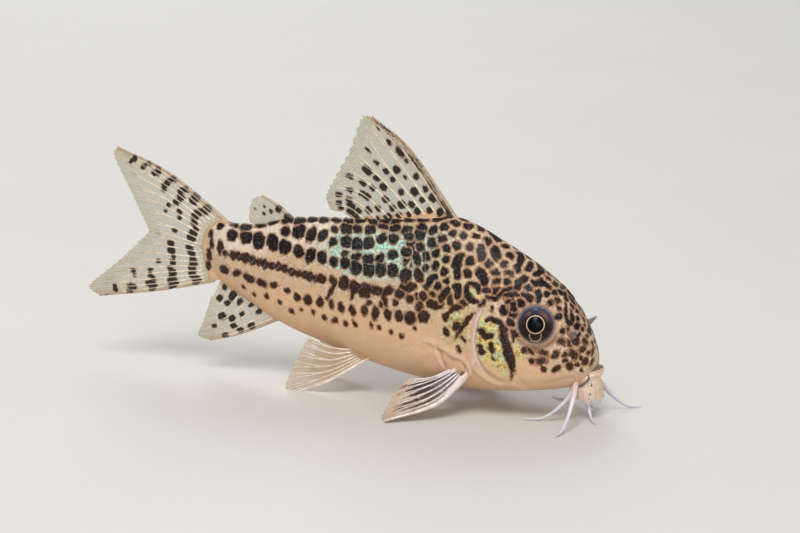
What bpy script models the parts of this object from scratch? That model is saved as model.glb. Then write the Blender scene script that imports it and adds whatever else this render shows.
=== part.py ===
"""A corydoras catfish at life size, resting on the tips of its barbels and breast fins."""

import math

import bmesh
import bpy
import numpy as np
from mathutils import Matrix, Vector

# Every size below is in millimetres, and MM turns it into Blender's metres
MM = 0.001

# A place on the fish is (behind the snout, to its left, above the floor)
SNOUT_AHEAD = 33.9
CUT = 0.3

# Sections from the nose to the tail root: behind the snout, back, belly, half width,
# height of the widest point, fullness of the upper and of the lower half
BODY = (
    (0.35, 7.4, 6.1, 0.5, 6.8, 2.0, 2.0),
    (0.7, 9.0, 5.3, 1.8, 6.9, 2.0, 2.0),
    (1.4, 10.9, 4.6, 2.8, 6.9, 2.0, 2.1),
    (2.5, 13.0, 4.0, 3.6, 6.9, 2.0, 2.2),
    (4.1, 15.0, 3.6, 4.4, 6.9, 2.0, 2.4),
    (6.4, 17.2, 3.2, 5.1, 7.0, 2.0, 2.5),
    (9.2, 19.2, 2.8, 5.7, 7.2, 1.9, 2.5),
    (12.8, 21.2, 2.5, 6.1, 7.5, 1.8, 2.5),
    (16.2, 22.9, 2.3, 6.3, 8.0, 1.75, 2.4),
    (19.5, 23.8, 2.4, 6.0, 8.5, 1.75, 2.3),
    (24.0, 23.2, 2.9, 5.3, 9.3, 1.8, 2.2),
    (28.5, 22.6, 3.6, 4.5, 10.2, 1.85, 2.1),
    (33.0, 22.3, 4.6, 3.7, 11.4, 1.9, 2.0),
    (37.5, 22.1, 5.9, 3.0, 12.7, 2.0, 2.0),
    (42.0, 21.6, 7.3, 2.4, 14.0, 2.0, 2.0),
    (46.0, 20.5, 9.2, 1.9, 15.0, 2.0, 2.0),
    (49.5, 20.3, 11.4, 1.5, 16.0, 2.0, 2.0),
    (52.2, 20.3, 12.7, 1.2, 16.5, 2.0, 2.0),
    (53.7, 19.4, 13.6, 0.8, 16.5, 2.0, 2.0),
    (54.3, 18.0, 15.0, 0.5, 16.5, 2.0, 2.0),
)
RINGS_PER_SECTION = 2
RING_POINTS = 32

# The cuts behind the gill opening and ahead of the tail, and how far their tops lean back
GILL_CUT = 14.7
TAIL_CUT = 40.6
CUT_LEAN = 0.10
CUT_HEIGHT = 9.0

# Reach of the hidden blocks that part and trim the solids
AHEAD_OF_ALL = -20.0
BEHIND_ALL = 90.0
ABOVE_ALL = 50.0
BLOCK_HALF = 30.0

# The gill cover seen from the side, from its top round its rear edge
GILL_COVER = (
    (12.4, 14.7),
    (13.6, 13.4),
    (14.1, 11.6),
    (14.2, 9.4),
    (13.6, 7.4),
    (12.6, 6.1),
    (11.0, 5.1),
    (9.7, 5.2),
    (9.3, 6.8),
    (10.1, 9.8),
    (10.9, 12.4),
    (11.6, 14.0),
)
GILL_COVER_INNER_SIDE = 4.0
GILL_COVER_OUTER_SIDE = 9.0

# Eye on the skin, the way it looks, its radius, half depth and how deep it sits
EYE_PLACE = (6.9, 4.55, 12.3)
EYE_FORWARD = 15.0
EYE_UP = 14.0
EYE_RADIUS = 2.3
EYE_HALF_DEPTH = 1.7
EYE_SUNK = 0.85
EYE_SEGMENTS = 16
EYE_RINGS = 10

# Fins: where the rays leave the body, their middles and their tips, from the first ray back
DORSAL = {
    "roots": ((18.9, 0, 23.2), (25.0, 0, 22.2), (31.6, 0, 21.3)),
    "middles": ((25.2, 0, 31.7), (28.5, 0, 28.5), (31.8, 0, 25.5), (34.0, 0, 22.9)),
    "tips": (
        (30.4, 0, 35.7),
        (31.9, 0, 35.5),
        (33.6, 0, 31.1),
        (35.7, 0, 27.3),
        (36.8, 0, 25.0),
        (36.2, 0, 23.3),
    ),
    "thick": (1.3, 0.6),
}
ADIPOSE = {
    "roots": ((41.0, 0, 21.2), (46.4, 0, 19.5)),
    "middles": ((43.6, 0, 23.3), (46.9, 0, 20.4)),
    "tips": ((45.7, 0, 24.3), (47.1, 0, 23.7), (47.6, 0, 21.6), (47.5, 0, 20.6)),
    "thick": (1.1, 0.6),
}
CAUDAL_UPPER = {
    "roots": ((50.6, 0, 20.3), (52.8, 0, 18.8), (53.4, 0, 16.75)),
    "middles": ((59.0, 0, 26.2), (60.0, 0, 22.8), (58.0, 0, 17.6)),
    "tips": ((66.6, 0, 29.2), (67.2, 0, 28.0), (65.2, 0, 24.1), (63.4, 0, 20.6), (62.2, 0, 18.4)),
    "thick": (0.9, 0.6),
}
CAUDAL_LOWER = {
    "roots": ((53.4, 0, 16.4), (53.0, 0, 14.3), (52.4, 0, 12.5)),
    "middles": ((58.0, 0, 17.2), (60.4, 0, 13.6), (61.2, 0, 10.3)),
    "tips": (
        (62.2, 0, 18.1),
        (64.3, 0, 16.2),
        (67.0, 0, 13.7),
        (70.4, 0, 11.0),
        (71.6, 0, 9.6),
        (70.0, 0, 8.7),
    ),
    "thick": (0.9, 0.6),
}
ANAL = {
    "roots": ((42.9, 0, 8.4), (47.6, 0, 11.0), (51.6, 0, 13.0)),
    "middles": ((49.0, 0, 5.6), (50.8, 0, 8.0), (52.9, 0, 10.4)),
    "tips": ((53.6, 0, 4.2), (55.4, 0, 4.7), (54.7, 0, 6.3), (53.7, 0, 8.9), (53.2, 0, 10.2)),
    "thick": (0.9, 0.6),
}
PECTORAL = {
    "roots": ((15.2, 4.9, 5.9), (16.6, 5.2, 6.3)),
    "middles": ((17.9, 8.8, 2.1), (18.9, 8.2, 3.0), (19.5, 7.2, 4.3), (19.7, 6.7, 4.8)),
    "tips": ((23.6, 12.5, 0.2), (24.7, 10.8, 0.2), (24.4, 9.3, 1.5), (23.8, 8.2, 3.0), (22.5, 7.2, 4.4)),
    "thick": (1.4, 0.6),
}
PELVIC = {
    "roots": ((28.9, 3.4, 5.5), (31.4, 3.1, 6.1)),
    "middles": ((34.6, 3.7, 1.9), (35.0, 3.6, 2.9), (34.9, 3.5, 4.4), (34.7, 3.4, 6.3)),
    "tips": (
        (39.2, 3.7, -0.15),
        (41.0, 3.7, 0.0),
        (40.5, 3.6, 2.1),
        (39.5, 3.5, 4.2),
        (38.5, 3.4, 6.1),
        (37.8, 3.4, 7.0),
    ),
    "thick": (0.9, 0.6),
}
FIN_ACROSS = 10
FIN_ALONG = 7
SPINE_SHARE = 0.2

# Barbels: the path of each from the mouth to the floor, its radii at both ends, its
# rings and sides, and the step that gives its direction
BARBELS = {
    "maxillary_barbel_right": (
        (2.6, -1.6, 5.4),
        (2.2, -3.0, 4.4),
        (1.9, -5.2, 2.9),
        (1.9, -7.1, 1.4),
        (2.1, -8.6, 0.35),
        (2.4, -10.0, 0.15),
    ),
    "maxillary_barbel_left": (
        (1.4, 1.2, 5.0),
        (0.3, 2.2, 3.5),
        (-0.9, 3.4, 1.7),
        (-2.3, 4.5, 0.4),
        (-3.7, 5.6, 0.15),
    ),
    "rictal_barbel_right": (
        (2.9, -1.6, 5.0),
        (2.9, -2.7, 3.3),
        (4.2, -3.5, 1.6),
        (6.0, -4.2, 0.35),
        (8.2, -4.9, 0.15),
    ),
    "rictal_barbel_left": (
        (3.0, 1.6, 5.0),
        (3.0, 2.8, 3.3),
        (4.3, 3.7, 1.6),
        (5.9, 4.6, 0.35),
        (7.9, 5.4, 0.15),
    ),
    "mental_barbel_right": (
        (2.2, -0.7, 3.9),
        (1.4, -0.9, 2.5),
        (0.7, -1.7, 0.9),
        (0.1, -2.6, 0.3),
        (-0.6, -3.5, 0.15),
    ),
    "mental_barbel_left": (
        (2.4, 0.7, 3.9),
        (2.0, 1.0, 2.4),
        (1.7, 1.7, 0.9),
        (1.4, 2.5, 0.3),
        (1.1, 3.4, 0.15),
    ),
}
BARBEL_ROOT_RADIUS = 0.50
BARBEL_TIP_RADIUS = 0.27
BARBEL_STEPS = 12
BARBEL_SIDES = 8
PATH_STEP = 0.01

# Lower lip: a soft flap hung round the rear of the mouth
LIP = {
    "roots": ((1.6, -1.7, 5.6), (4.4, -1.0, 4.6), (4.4, 1.0, 4.6), (1.6, 1.7, 5.6)),
    "middles": ((1.1, -2.0, 3.7), (3.5, -1.3, 3.1), (3.5, 1.3, 3.1), (1.1, 2.0, 3.7)),
    "tips": ((0.8, -2.1, 2.4), (2.5, -1.5, 1.8), (2.5, 1.5, 1.8), (0.8, 2.1, 2.4)),
    "thick": (1.0, 0.6),
}

# Upper lip: a soft roll round the front of the mouth
UPPER_LIP = ((2.2, -1.9, 5.0), (0.9, -1.4, 5.8), (0.3, 0.0, 6.0), (0.9, 1.4, 5.8), (2.2, 1.9, 5.0))
UPPER_LIP_RADIUS = 0.65

# Nostril flap: its root under the skin, its tip, its half width, and the share of
# that width at shares of its length
NOSTRIL_ROOT = (3.0, 2.6, 10.3)
NOSTRIL_TIP = (1.8, 3.7, 11.7)
NOSTRIL_HALF_WIDTH = 0.55
NOSTRIL_THICK = 0.55
NOSTRIL_WIDTHS = ((0.0, 1.0), (0.35, 1.1), (0.7, 0.9), (0.95, 0.5))

# Colours and roughness of the sub-parts
LOOKS = {
    "skin": ((0.62, 0.43, 0.30), 0.35),
    "fin": ((0.70, 0.58, 0.45), 0.40),
    "eye": ((0.02, 0.02, 0.03), 0.05),
    "barbel": ((0.75, 0.58, 0.50), 0.40),
}


def clear_scene():
    for old in list(bpy.data.objects):
        bpy.data.objects.remove(old, do_unlink=True)


def at(behind, left, above):
    """The point of the scene for a place on the fish."""
    return Vector(((SNOUT_AHEAD - behind) * MM, left * MM, above * MM))


def along(points, share):
    """A point of the smooth curve through the given rows, with share from 0 to 1."""
    rows = np.asarray(points, float)
    last = len(rows) - 1
    here = min(max(share, 0.0), 1.0) * last
    k = min(int(here), last - 1)
    t = here - k
    before = rows[k - 1] if k > 0 else 2 * rows[0] - rows[1]
    after = rows[k + 2] if k + 2 <= last else 2 * rows[last] - rows[last - 1]
    a, b = rows[k], rows[k + 1]
    return 0.5 * (
        2 * a
        + (b - before) * t
        + (2 * before - 5 * a + 4 * b - after) * t * t
        + (3 * a - before - 3 * b + after) * t**3
    )


def material_for(name):
    """The shared material of one kind of sub-part."""
    made = bpy.data.materials.get(name)
    if made:
        return made
    colour, roughness = LOOKS[name]
    made = bpy.data.materials.new(name)
    made.use_nodes = True
    shader = made.node_tree.nodes["Principled BSDF"]
    shader.inputs["Base Color"].default_value = (*colour, 1.0)
    shader.inputs["Roughness"].default_value = roughness
    shader.inputs["Metallic"].default_value = 0.0
    return made


def object_from(name, work, look):
    """An object of this name made from a bmesh, which is then freed."""
    bmesh.ops.recalc_face_normals(work, faces=work.faces)
    mesh = bpy.data.meshes.new(name)
    work.to_mesh(mesh)
    work.free()
    obj = bpy.data.objects.new(name, mesh)
    bpy.context.scene.collection.objects.link(obj)
    mesh.shade_smooth()
    if look:
        mesh.materials.append(material_for(look))
    else:
        obj.hide_render = True
        obj.display_type = "WIRE"
    return obj


def boolean(obj, operation, other):
    cut = obj.modifiers.new(operation.lower() + "_" + other.name, "BOOLEAN")
    cut.operation = operation
    cut.solver = "EXACT"
    cut.object = other


def bridged(work, rings):
    """Closes a stack of equal rings of vertices with sides and two end caps."""
    count = len(rings[0])
    for lower, upper in zip(rings, rings[1:]):
        for k in range(count):
            n = (k + 1) % count
            work.faces.new((lower[k], lower[n], upper[n], upper[k]))
    work.faces.new(rings[0][::-1])
    work.faces.new(rings[-1])


def body_ring(share, grow):
    """The outline of the body at a share of its length, swollen by grow."""
    behind, back, belly, half, widest, upper, lower = along(BODY, share)
    sections = len(BODY) - 1
    behind += grow * float(np.interp(share * sections, (0, 3, sections - 3, sections), (-1, 0, 0, 1)))
    ring = []
    for k in range(RING_POINTS):
        angle = 2 * math.pi * k / RING_POINTS
        out, up = math.cos(angle), math.sin(angle)
        power, reach = (upper, back - widest) if up >= 0 else (lower, widest - belly)
        side = (half + grow) * math.copysign(abs(out) ** (2 / power), out)
        height = widest + (reach + grow) * math.copysign(abs(up) ** (2 / power), up)
        ring.append(at(behind, side, height))
    return ring


def body_mesh(name, look, grow=0.0):
    """The whole body without its fins, from the nose to the tail root."""
    work = bmesh.new()
    steps = (len(BODY) - 1) * RINGS_PER_SECTION
    rings = [[work.verts.new(p) for p in body_ring(k / steps, grow)] for k in range(steps + 1)]
    bridged(work, rings)
    return object_from(name, work, look)


def block(name, front, rear, low, high, lean=0.0):
    """A hidden block wider than the fish, whose two ends may lean back alike."""
    work = bmesh.new()
    rings = []
    for height in (low, high):
        shift = lean * (height - CUT_HEIGHT)
        corners = ((front, BLOCK_HALF), (rear, BLOCK_HALF), (rear, -BLOCK_HALF), (front, -BLOCK_HALF))
        rings.append([work.verts.new(at(behind + shift, side, height)) for behind, side in corners])
    bridged(work, rings)
    return object_from(name, work, None)


def gill_cover_block(name, side, grow):
    """A hidden block with the gill cover's outline, reaching out from inside the head."""
    centre = np.mean(GILL_COVER, axis=0)
    inner, outer = GILL_COVER_INNER_SIDE - grow, GILL_COVER_OUTER_SIDE
    work = bmesh.new()
    rings = []
    for reach in (inner, outer):
        ring = []
        for place in GILL_COVER:
            away = np.asarray(place) - centre
            behind, height = centre + away * (1 + grow / np.linalg.norm(away))
            ring.append(work.verts.new(at(behind, side * reach, height)))
        rings.append(ring)
    bridged(work, rings)
    return object_from(name, work, None)


def eye(name, look, side, grow):
    """A flattened ball that looks out of the head, or its socket when grown."""
    turn = Matrix.Rotation(side * math.radians(90 - EYE_FORWARD), 4, "Z")
    lift = Matrix.Rotation(math.radians(-EYE_UP), 4, "Y")
    facing = turn @ lift
    centre = at(EYE_PLACE[0], side * EYE_PLACE[1], EYE_PLACE[2])
    centre -= facing @ Vector((EYE_SUNK * MM, 0, 0))
    work = bmesh.new()
    bmesh.ops.create_uvsphere(work, u_segments=EYE_SEGMENTS, v_segments=EYE_RINGS, radius=1.0)
    radius, depth = (EYE_RADIUS + grow) * MM, (EYE_HALF_DEPTH + grow) * MM
    pole_out = Matrix.Rotation(math.radians(90), 4, "Y")
    sized = Matrix.Diagonal((depth, radius, radius, 1.0))
    bmesh.ops.transform(work, matrix=sized @ pole_out, verts=work.verts)
    obj = object_from(name, work, look)
    obj.matrix_world = Matrix.Translation(centre) @ facing
    return obj


def fin(name, look, plan, side=1):
    """A thin plate whose rays run from the roots over the middles to the tips."""
    spine, edge = plan["thick"]
    places = np.zeros((FIN_ALONG + 1, FIN_ACROSS + 1, 3))
    for j in range(FIN_ACROSS + 1):
        share = j / FIN_ACROSS
        ray = [along(plan[part], share) for part in ("roots", "middles", "tips")]
        for i in range(FIN_ALONG + 1):
            places[i, j] = along(ray, i / FIN_ALONG)
    places[:, :, 1] *= side
    outward = np.cross(places[-1, 0] - places[0, 0], places[-1, -1] - places[0, 0])
    outward /= np.linalg.norm(outward)
    work = bmesh.new()
    faces = []
    for way in (1, -1):
        sheet = []
        for i in range(FIN_ALONG + 1):
            row = []
            for j in range(FIN_ACROSS + 1):
                fade = min(1.0, j / FIN_ACROSS / SPINE_SHARE)
                thick = spine + (edge - spine) * fade
                thick += (edge - thick) * i / FIN_ALONG
                row.append(work.verts.new(at(*(places[i, j] + way * outward * thick / 2))))
            sheet.append(row)
        faces.append(sheet)
    front, rear = faces
    for i in range(FIN_ALONG):
        for j in range(FIN_ACROSS):
            for sheet in (front, rear):
                work.faces.new((sheet[i][j], sheet[i][j + 1], sheet[i + 1][j + 1], sheet[i + 1][j]))
    rim = [(0, j) for j in range(FIN_ACROSS)] + [(i, FIN_ACROSS) for i in range(FIN_ALONG)]
    rim += [(FIN_ALONG, j) for j in range(FIN_ACROSS, 0, -1)] + [(i, 0) for i in range(FIN_ALONG, 0, -1)]
    for (i, j), (m, n) in zip(rim, rim[1:] + rim[:1]):
        work.faces.new((front[i][j], front[m][n], rear[m][n], rear[i][j]))
    return object_from(name, work, look)


def tube(name, look, path, root_radius, tip_radius):
    """A round feeler along a smooth path, thinner towards its tip."""
    work = bmesh.new()
    rings = []
    for k in range(BARBEL_STEPS + 1):
        share = k / BARBEL_STEPS
        here = Vector(along(path, share))
        ahead = along(path, min(1.0, share + PATH_STEP)) - along(path, max(0.0, share - PATH_STEP))
        frame = Vector(ahead).to_track_quat("Z", "Y").to_matrix()
        radius = root_radius + (tip_radius - root_radius) * share
        ring = []
        for n in range(BARBEL_SIDES):
            angle = 2 * math.pi * n / BARBEL_SIDES
            spot = here + frame @ Vector((radius * math.cos(angle), radius * math.sin(angle), 0))
            ring.append(work.verts.new(at(*spot)))
        rings.append(ring)
    bridged(work, rings)
    return object_from(name, work, look)


def nostril_flap(name, look, side):
    """A small leaf of skin that stands up between the two openings of a nostril."""
    root = np.array(NOSTRIL_ROOT) * (1, side, 1)
    tip = np.array(NOSTRIL_TIP) * (1, side, 1)
    along_leaf = tip - root
    across = np.cross(along_leaf, (0, 0, 1.0))
    across /= np.linalg.norm(across)
    outward = np.cross(across, along_leaf)
    outward /= np.linalg.norm(outward)
    work = bmesh.new()
    rings = []
    for share, width in NOSTRIL_WIDTHS:
        middle = root + along_leaf * share
        ring = []
        for n in range(BARBEL_SIDES):
            angle = 2 * math.pi * n / BARBEL_SIDES
            wide = across * NOSTRIL_HALF_WIDTH * width * math.cos(angle)
            deep = outward * NOSTRIL_THICK / 2 * math.sin(angle)
            ring.append(work.verts.new(at(*(middle + wide + deep))))
        rings.append(ring)
    bridged(work, rings)
    return object_from(name, work, look)


clear_scene()

# Hidden helpers: the swollen body that fins are trimmed to, and the ground under the fish
swollen_body = body_mesh("swollen_body", None, CUT)
ground = block("ground", AHEAD_OF_ALL, BEHIND_ALL, -BLOCK_HALF, 0.0)

# Head, trunk and tail: one body parted by two thin cuts
spans = (
    ("head", AHEAD_OF_ALL, GILL_CUT),
    ("trunk", GILL_CUT + CUT, TAIL_CUT),
    ("tail", TAIL_CUT + CUT, BEHIND_ALL),
)
flesh = {}
for part, front, rear in spans:
    flesh[part] = body_mesh(part, "skin")
    room = block(part + "_span", front, rear, -BLOCK_HALF, ABOVE_ALL, CUT_LEAN)
    boolean(flesh[part], "INTERSECT", room)

# Eyes in their sockets, and gill covers let into the head
for hand, side in (("left", 1), ("right", -1)):
    eye("eye_" + hand, "eye", side, 0.0)
    boolean(flesh["head"], "DIFFERENCE", eye("socket_" + hand, None, side, CUT))
    cover = body_mesh("gill_cover_" + hand, "skin")
    boolean(cover, "INTERSECT", gill_cover_block("cover_block_" + hand, side, 0.0))
    boolean(flesh["head"], "DIFFERENCE", gill_cover_block("cover_room_" + hand, side, CUT))

# Fins on the middle line, then the pairs
middle_fins = {
    "dorsal_fin": DORSAL,
    "adipose_fin": ADIPOSE,
    "caudal_lobe_upper": CAUDAL_UPPER,
    "caudal_lobe_lower": CAUDAL_LOWER,
    "anal_fin": ANAL,
    "lower_lip": LIP,
}
for part, plan in middle_fins.items():
    boolean(fin(part, "fin", plan), "DIFFERENCE", swollen_body)
for hand, side in (("left", 1), ("right", -1)):
    for part, plan in (("pectoral_fin_", PECTORAL), ("pelvic_fin_", PELVIC)):
        paired = fin(part + hand, "fin", plan, side)
        boolean(paired, "DIFFERENCE", swollen_body)
        boolean(paired, "DIFFERENCE", ground)
    boolean(nostril_flap("nostril_flap_" + hand, "skin", side), "DIFFERENCE", swollen_body)

# Upper lip, then the barbels, trimmed to the head and flattened where they lie on the ground
lip = tube("upper_lip", "skin", UPPER_LIP, UPPER_LIP_RADIUS, UPPER_LIP_RADIUS)
boolean(lip, "DIFFERENCE", swollen_body)
for part, path in BARBELS.items():
    feeler = tube(part, "barbel", path, BARBEL_ROOT_RADIUS, BARBEL_TIP_RADIUS)
    boolean(feeler, "DIFFERENCE", swollen_body)
    boolean(feeler, "DIFFERENCE", ground)
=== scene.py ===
import math

import bmesh
import bpy
import numpy as np
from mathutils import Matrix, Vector, kdtree, noise


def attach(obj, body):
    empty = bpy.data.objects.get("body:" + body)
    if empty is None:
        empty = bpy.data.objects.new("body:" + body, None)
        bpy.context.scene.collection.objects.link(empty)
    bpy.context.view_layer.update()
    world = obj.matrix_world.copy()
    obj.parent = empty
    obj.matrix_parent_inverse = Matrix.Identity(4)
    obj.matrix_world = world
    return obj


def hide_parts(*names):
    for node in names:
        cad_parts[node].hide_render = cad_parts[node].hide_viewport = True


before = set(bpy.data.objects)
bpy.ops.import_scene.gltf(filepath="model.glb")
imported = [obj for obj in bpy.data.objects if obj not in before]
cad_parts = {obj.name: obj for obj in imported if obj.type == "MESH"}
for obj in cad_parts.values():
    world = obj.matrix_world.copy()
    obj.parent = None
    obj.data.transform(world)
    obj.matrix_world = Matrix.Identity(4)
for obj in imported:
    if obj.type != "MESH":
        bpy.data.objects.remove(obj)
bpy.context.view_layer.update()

# The skin: one unbroken cover over head, trunk, tail and gill covers. It is bare and soft
# on the belly, thin over the skull, and armoured along the flanks by two rows of bony
# plates that overlap like roof tiles.

# Sizes are in millimetres. A place on the fish is (behind the snout, to its left, above the
# floor), and a side is 1 for its left and -1 for its right.
MM = 0.001
SIDES = ((1, "left"), (-1, "right"))
SNOUT_AHEAD = 33.9

# Sections: behind, back, belly, half width, widest height, fullness above and below it
BODY = (
    (0.35, 7.4, 6.1, 0.5, 6.8, 2.0, 2.0),
    (0.7, 9.0, 5.3, 1.8, 6.9, 2.0, 2.0),
    (1.4, 10.9, 4.6, 2.8, 6.9, 2.0, 2.1),
    (2.5, 13.0, 4.0, 3.6, 6.9, 2.0, 2.2),
    (4.1, 15.0, 3.6, 4.4, 6.9, 2.0, 2.4),
    (6.4, 17.2, 3.2, 5.1, 7.0, 2.0, 2.5),
    (9.2, 19.2, 2.8, 5.7, 7.2, 1.9, 2.5),
    (12.8, 21.2, 2.5, 6.1, 7.5, 1.8, 2.5),
    (16.2, 22.9, 2.3, 6.3, 8.0, 1.75, 2.4),
    (19.5, 23.8, 2.4, 6.0, 8.5, 1.75, 2.3),
    (24.0, 23.2, 2.9, 5.3, 9.3, 1.8, 2.2),
    (28.5, 22.6, 3.6, 4.5, 10.2, 1.85, 2.1),
    (33.0, 22.3, 4.6, 3.7, 11.4, 1.9, 2.0),
    (37.5, 22.1, 5.9, 3.0, 12.7, 2.0, 2.0),
    (42.0, 21.6, 7.3, 2.4, 14.0, 2.0, 2.0),
    (46.0, 20.5, 9.2, 1.9, 15.0, 2.0, 2.0),
    (49.5, 20.3, 11.4, 1.5, 16.0, 2.0, 2.0),
    (52.2, 20.3, 12.7, 1.2, 16.5, 2.0, 2.0),
    (53.7, 19.4, 13.6, 0.8, 16.5, 2.0, 2.0),
    (54.3, 18.0, 15.0, 0.5, 16.5, 2.0, 2.0),
)
SKIN_ROWS = 430
SKIN_HALF = 114
UPPER_COLUMNS = 0.76
UPPER_ARC = 0.60
FINE_STEPS = 4000


def along(points, share):
    """Points of the smooth curve through the given rows, for shares from 0 to 1."""
    rows = np.asarray(points, float)
    share = np.asarray(share, float)
    last = len(rows) - 1
    here = np.clip(share, 0, 1) * last
    k = np.minimum(here.astype(int), last - 1)
    t = (here - k)[..., None]
    wide = np.concatenate(([2 * rows[0] - rows[1]], rows, [2 * rows[-1] - rows[-2]]))
    a, b, c, d = (wide[k + n] for n in range(4))
    bend = (3 * b - a - 3 * c + d) * t**3
    return 0.5 * (2 * b + (c - a) * t + (2 * a - 5 * b + 4 * c - d) * t * t + bend)


def smooth(value, low, high):
    """0 below low, 1 above high, and an even slope between them."""
    t = np.clip((np.asarray(value, float) - low) / (high - low), 0, 1)
    return t * t * (3 - 2 * t)


def bell(far, wide):
    """1 in the middle, and nearly 0 from twice the width on."""
    return np.exp(-((far / wide) ** 2))


def unit(rows):
    rows = np.asarray(rows, float)
    return rows / np.maximum(np.linalg.norm(rows, axis=-1, keepdims=True), 1e-9)


def section_point(share, angle):
    """The surface of the body at a share of its length, with angle 0 on its left side."""
    behind, back, belly, half, widest, upper, lower = np.moveaxis(along(BODY, share), -1, 0)
    out, up = np.cos(angle), np.sin(angle)
    power = np.where(up >= 0, upper, lower)
    reach = np.where(up >= 0, back - widest, widest - belly)
    side = half * np.sign(out) * np.abs(out) ** (2 / power)
    height = widest + reach * np.sign(up) * np.abs(up) ** (2 / power)
    return np.stack((behind + 0 * side, side, height), -1)


# Shares of the length whose rows lie equally far apart on the skin
fine_share = np.linspace(0, 1, FINE_STEPS + 1)
fine_rows = along(BODY, fine_share)
fine_step = np.hypot(np.diff(fine_rows[:, 0]), 0.7 * np.diff(fine_rows[:, 1]))
fine_length = np.concatenate(([0], np.cumsum(fine_step)))
row_share = np.interp(np.linspace(0, fine_length[-1], SKIN_ROWS), fine_length, fine_share)

# Each row goes from the ridge of the back down the left side to the belly, with its
# points closer together on the flank than underneath
half_angle = np.linspace(math.pi / 2, -math.pi / 2, 361)
half_ring = section_point(row_share[:, None], half_angle[None, :])
half_arc = np.cumsum(np.linalg.norm(np.diff(half_ring, axis=1), axis=-1), axis=1)
half_arc = np.concatenate((np.zeros((SKIN_ROWS, 1)), half_arc), axis=1)
columns = np.linspace(0, 1, SKIN_HALF + 1)
arc_share = np.interp(columns, (0, UPPER_COLUMNS, 1), (0, UPPER_ARC, 1))
left_arc = half_arc[:, -1:] * arc_share
left_angle = np.array([np.interp(a, h, half_angle) for a, h in zip(left_arc, half_arc)])
left = section_point(row_share[:, None], left_angle)
right = left[:, -2:0:-1] * (1, -1, 1)
skin = np.concatenate((left, right), axis=1)
arc = np.concatenate((left_arc, left_arc[:, -2:0:-1]), axis=1)
behind = skin[..., 0]
height = skin[..., 2]


def normals_of(grid, wrap):
    """Unit normals of a grid of points that closes round its columns if wrap is set."""
    down = np.gradient(grid, axis=0)
    if wrap:
        across = np.roll(grid, -1, axis=1) - np.roll(grid, 1, axis=1)
    else:
        across = np.gradient(grid, axis=1)
    return unit(np.cross(down, across))


skin_out = normals_of(skin, True)
if np.sum(skin_out[SKIN_ROWS // 2, :, 1] * skin[SKIN_ROWS // 2, :, 1]) < 0:
    skin_out = -skin_out


def on_skin(back_by, down_by, side):
    """Places on the skin, given how far behind the snout and how far down from the ridge."""
    back_by, down_by = np.broadcast_arrays(np.asarray(back_by, float), down_by)
    share = np.interp(back_by, fine_rows[:, 0], fine_share)
    ring = section_point(share[..., None], half_angle)
    steps = np.cumsum(np.linalg.norm(np.diff(ring, axis=-2), axis=-1), axis=-1)
    steps = np.concatenate((np.zeros(steps.shape[:-1] + (1,)), steps), axis=-1)
    angle = np.empty(back_by.shape)
    for place in np.ndindex(back_by.shape):
        angle[place] = np.interp(down_by[place], steps[place], half_angle)
    return section_point(share, angle) * (1, side, 1)


# Where the two rows of plates meet, down from the ridge, their edges counted from the head
# on, and how much they slant above and below that line
SEAM_BEHIND = (15.0, 20.0, 24.0, 28.0, 32.0, 36.0, 40.0, 44.0, 48.0, 53.0)
SEAM_DOWN = (9.6, 9.4, 9.1, 8.9, 8.5, 7.9, 7.2, 5.6, 4.3, 4.0)
PLATE_BEHIND = (8.0, 19.6, 28.35, 38.3, 50.2, 60.0)
PLATE_COUNT = (-6.6, 0, 5, 11, 17, 22)
UPPER_LEAN = 0.12
LOWER_LEAN = 0.62

# How high a plate's face and its rear lip stand, how deep the grooves are, where on a plate
# its edge lies and how long a plate is. NOWHERE is farther off than any mark reaches.
PLATE_RISE = 0.13
PLATE_LIP = 0.05
SEAM_DEEP = 0.10
RIDGE_DEEP = 0.06
PLATE_EDGE = 0.97
PLATE_LONG = 1.8
NOWHERE = 9.0


def lean_at(back_by, down_by):
    """How far behind its plate's place at the seam a place on the plate lies."""
    below = down_by - np.interp(back_by, SEAM_BEHIND, SEAM_DOWN)
    return np.where(below < 0, -UPPER_LEAN, LOWER_LEAN) * below


seam = np.interp(behind, SEAM_BEHIND, SEAM_DOWN)
below_seam = arc - seam
plate_number = np.interp(behind - lean_at(behind, arc), PLATE_BEHIND, PLATE_COUNT)
in_plate = plate_number - np.floor(plate_number)
plates_from = np.maximum(below_seam, 0) * 0.45, np.maximum(-below_seam - 3, 0) * 0.5
armoured = smooth(behind - plates_from[0] - plates_from[1], 19.0, 23.0)
armoured *= 1 - smooth(behind, 51.0, 53.0)
armoured *= 1 - smooth(below_seam, 4.0, 6.5)
plate_rise = PLATE_RISE * smooth(in_plate, 0.0, 0.75) * (1 - smooth(in_plate, 0.93, 1.0))
plate_lip = PLATE_LIP * bell(in_plate - 0.88, 0.06)
seam_groove = -SEAM_DEEP * bell(below_seam, 0.16)
ridge_groove = -RIDGE_DEEP * bell(arc - 0.75, 0.15) * smooth(behind, 31, 34)
relief = armoured * (plate_rise + plate_lip + seam_groove + ridge_groove)
edge_far = np.abs(in_plate - PLATE_EDGE)
edge_far = np.minimum(edge_far, 1 - edge_far) * PLATE_LONG
edge_far = np.where(armoured > 0.3, edge_far, NOWHERE)

# Gill cover: a loose plate whose rear edge stands up over the slit of the gill opening
GILL_COVER = (
    (12.4, 14.7), (13.6, 13.4), (14.1, 11.6), (14.2, 9.4), (13.6, 7.4), (12.6, 6.1), (11.0, 5.1),
    (9.7, 5.2), (9.3, 6.8), (10.1, 9.8), (10.9, 12.4), (11.6, 14.0),
)


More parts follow.
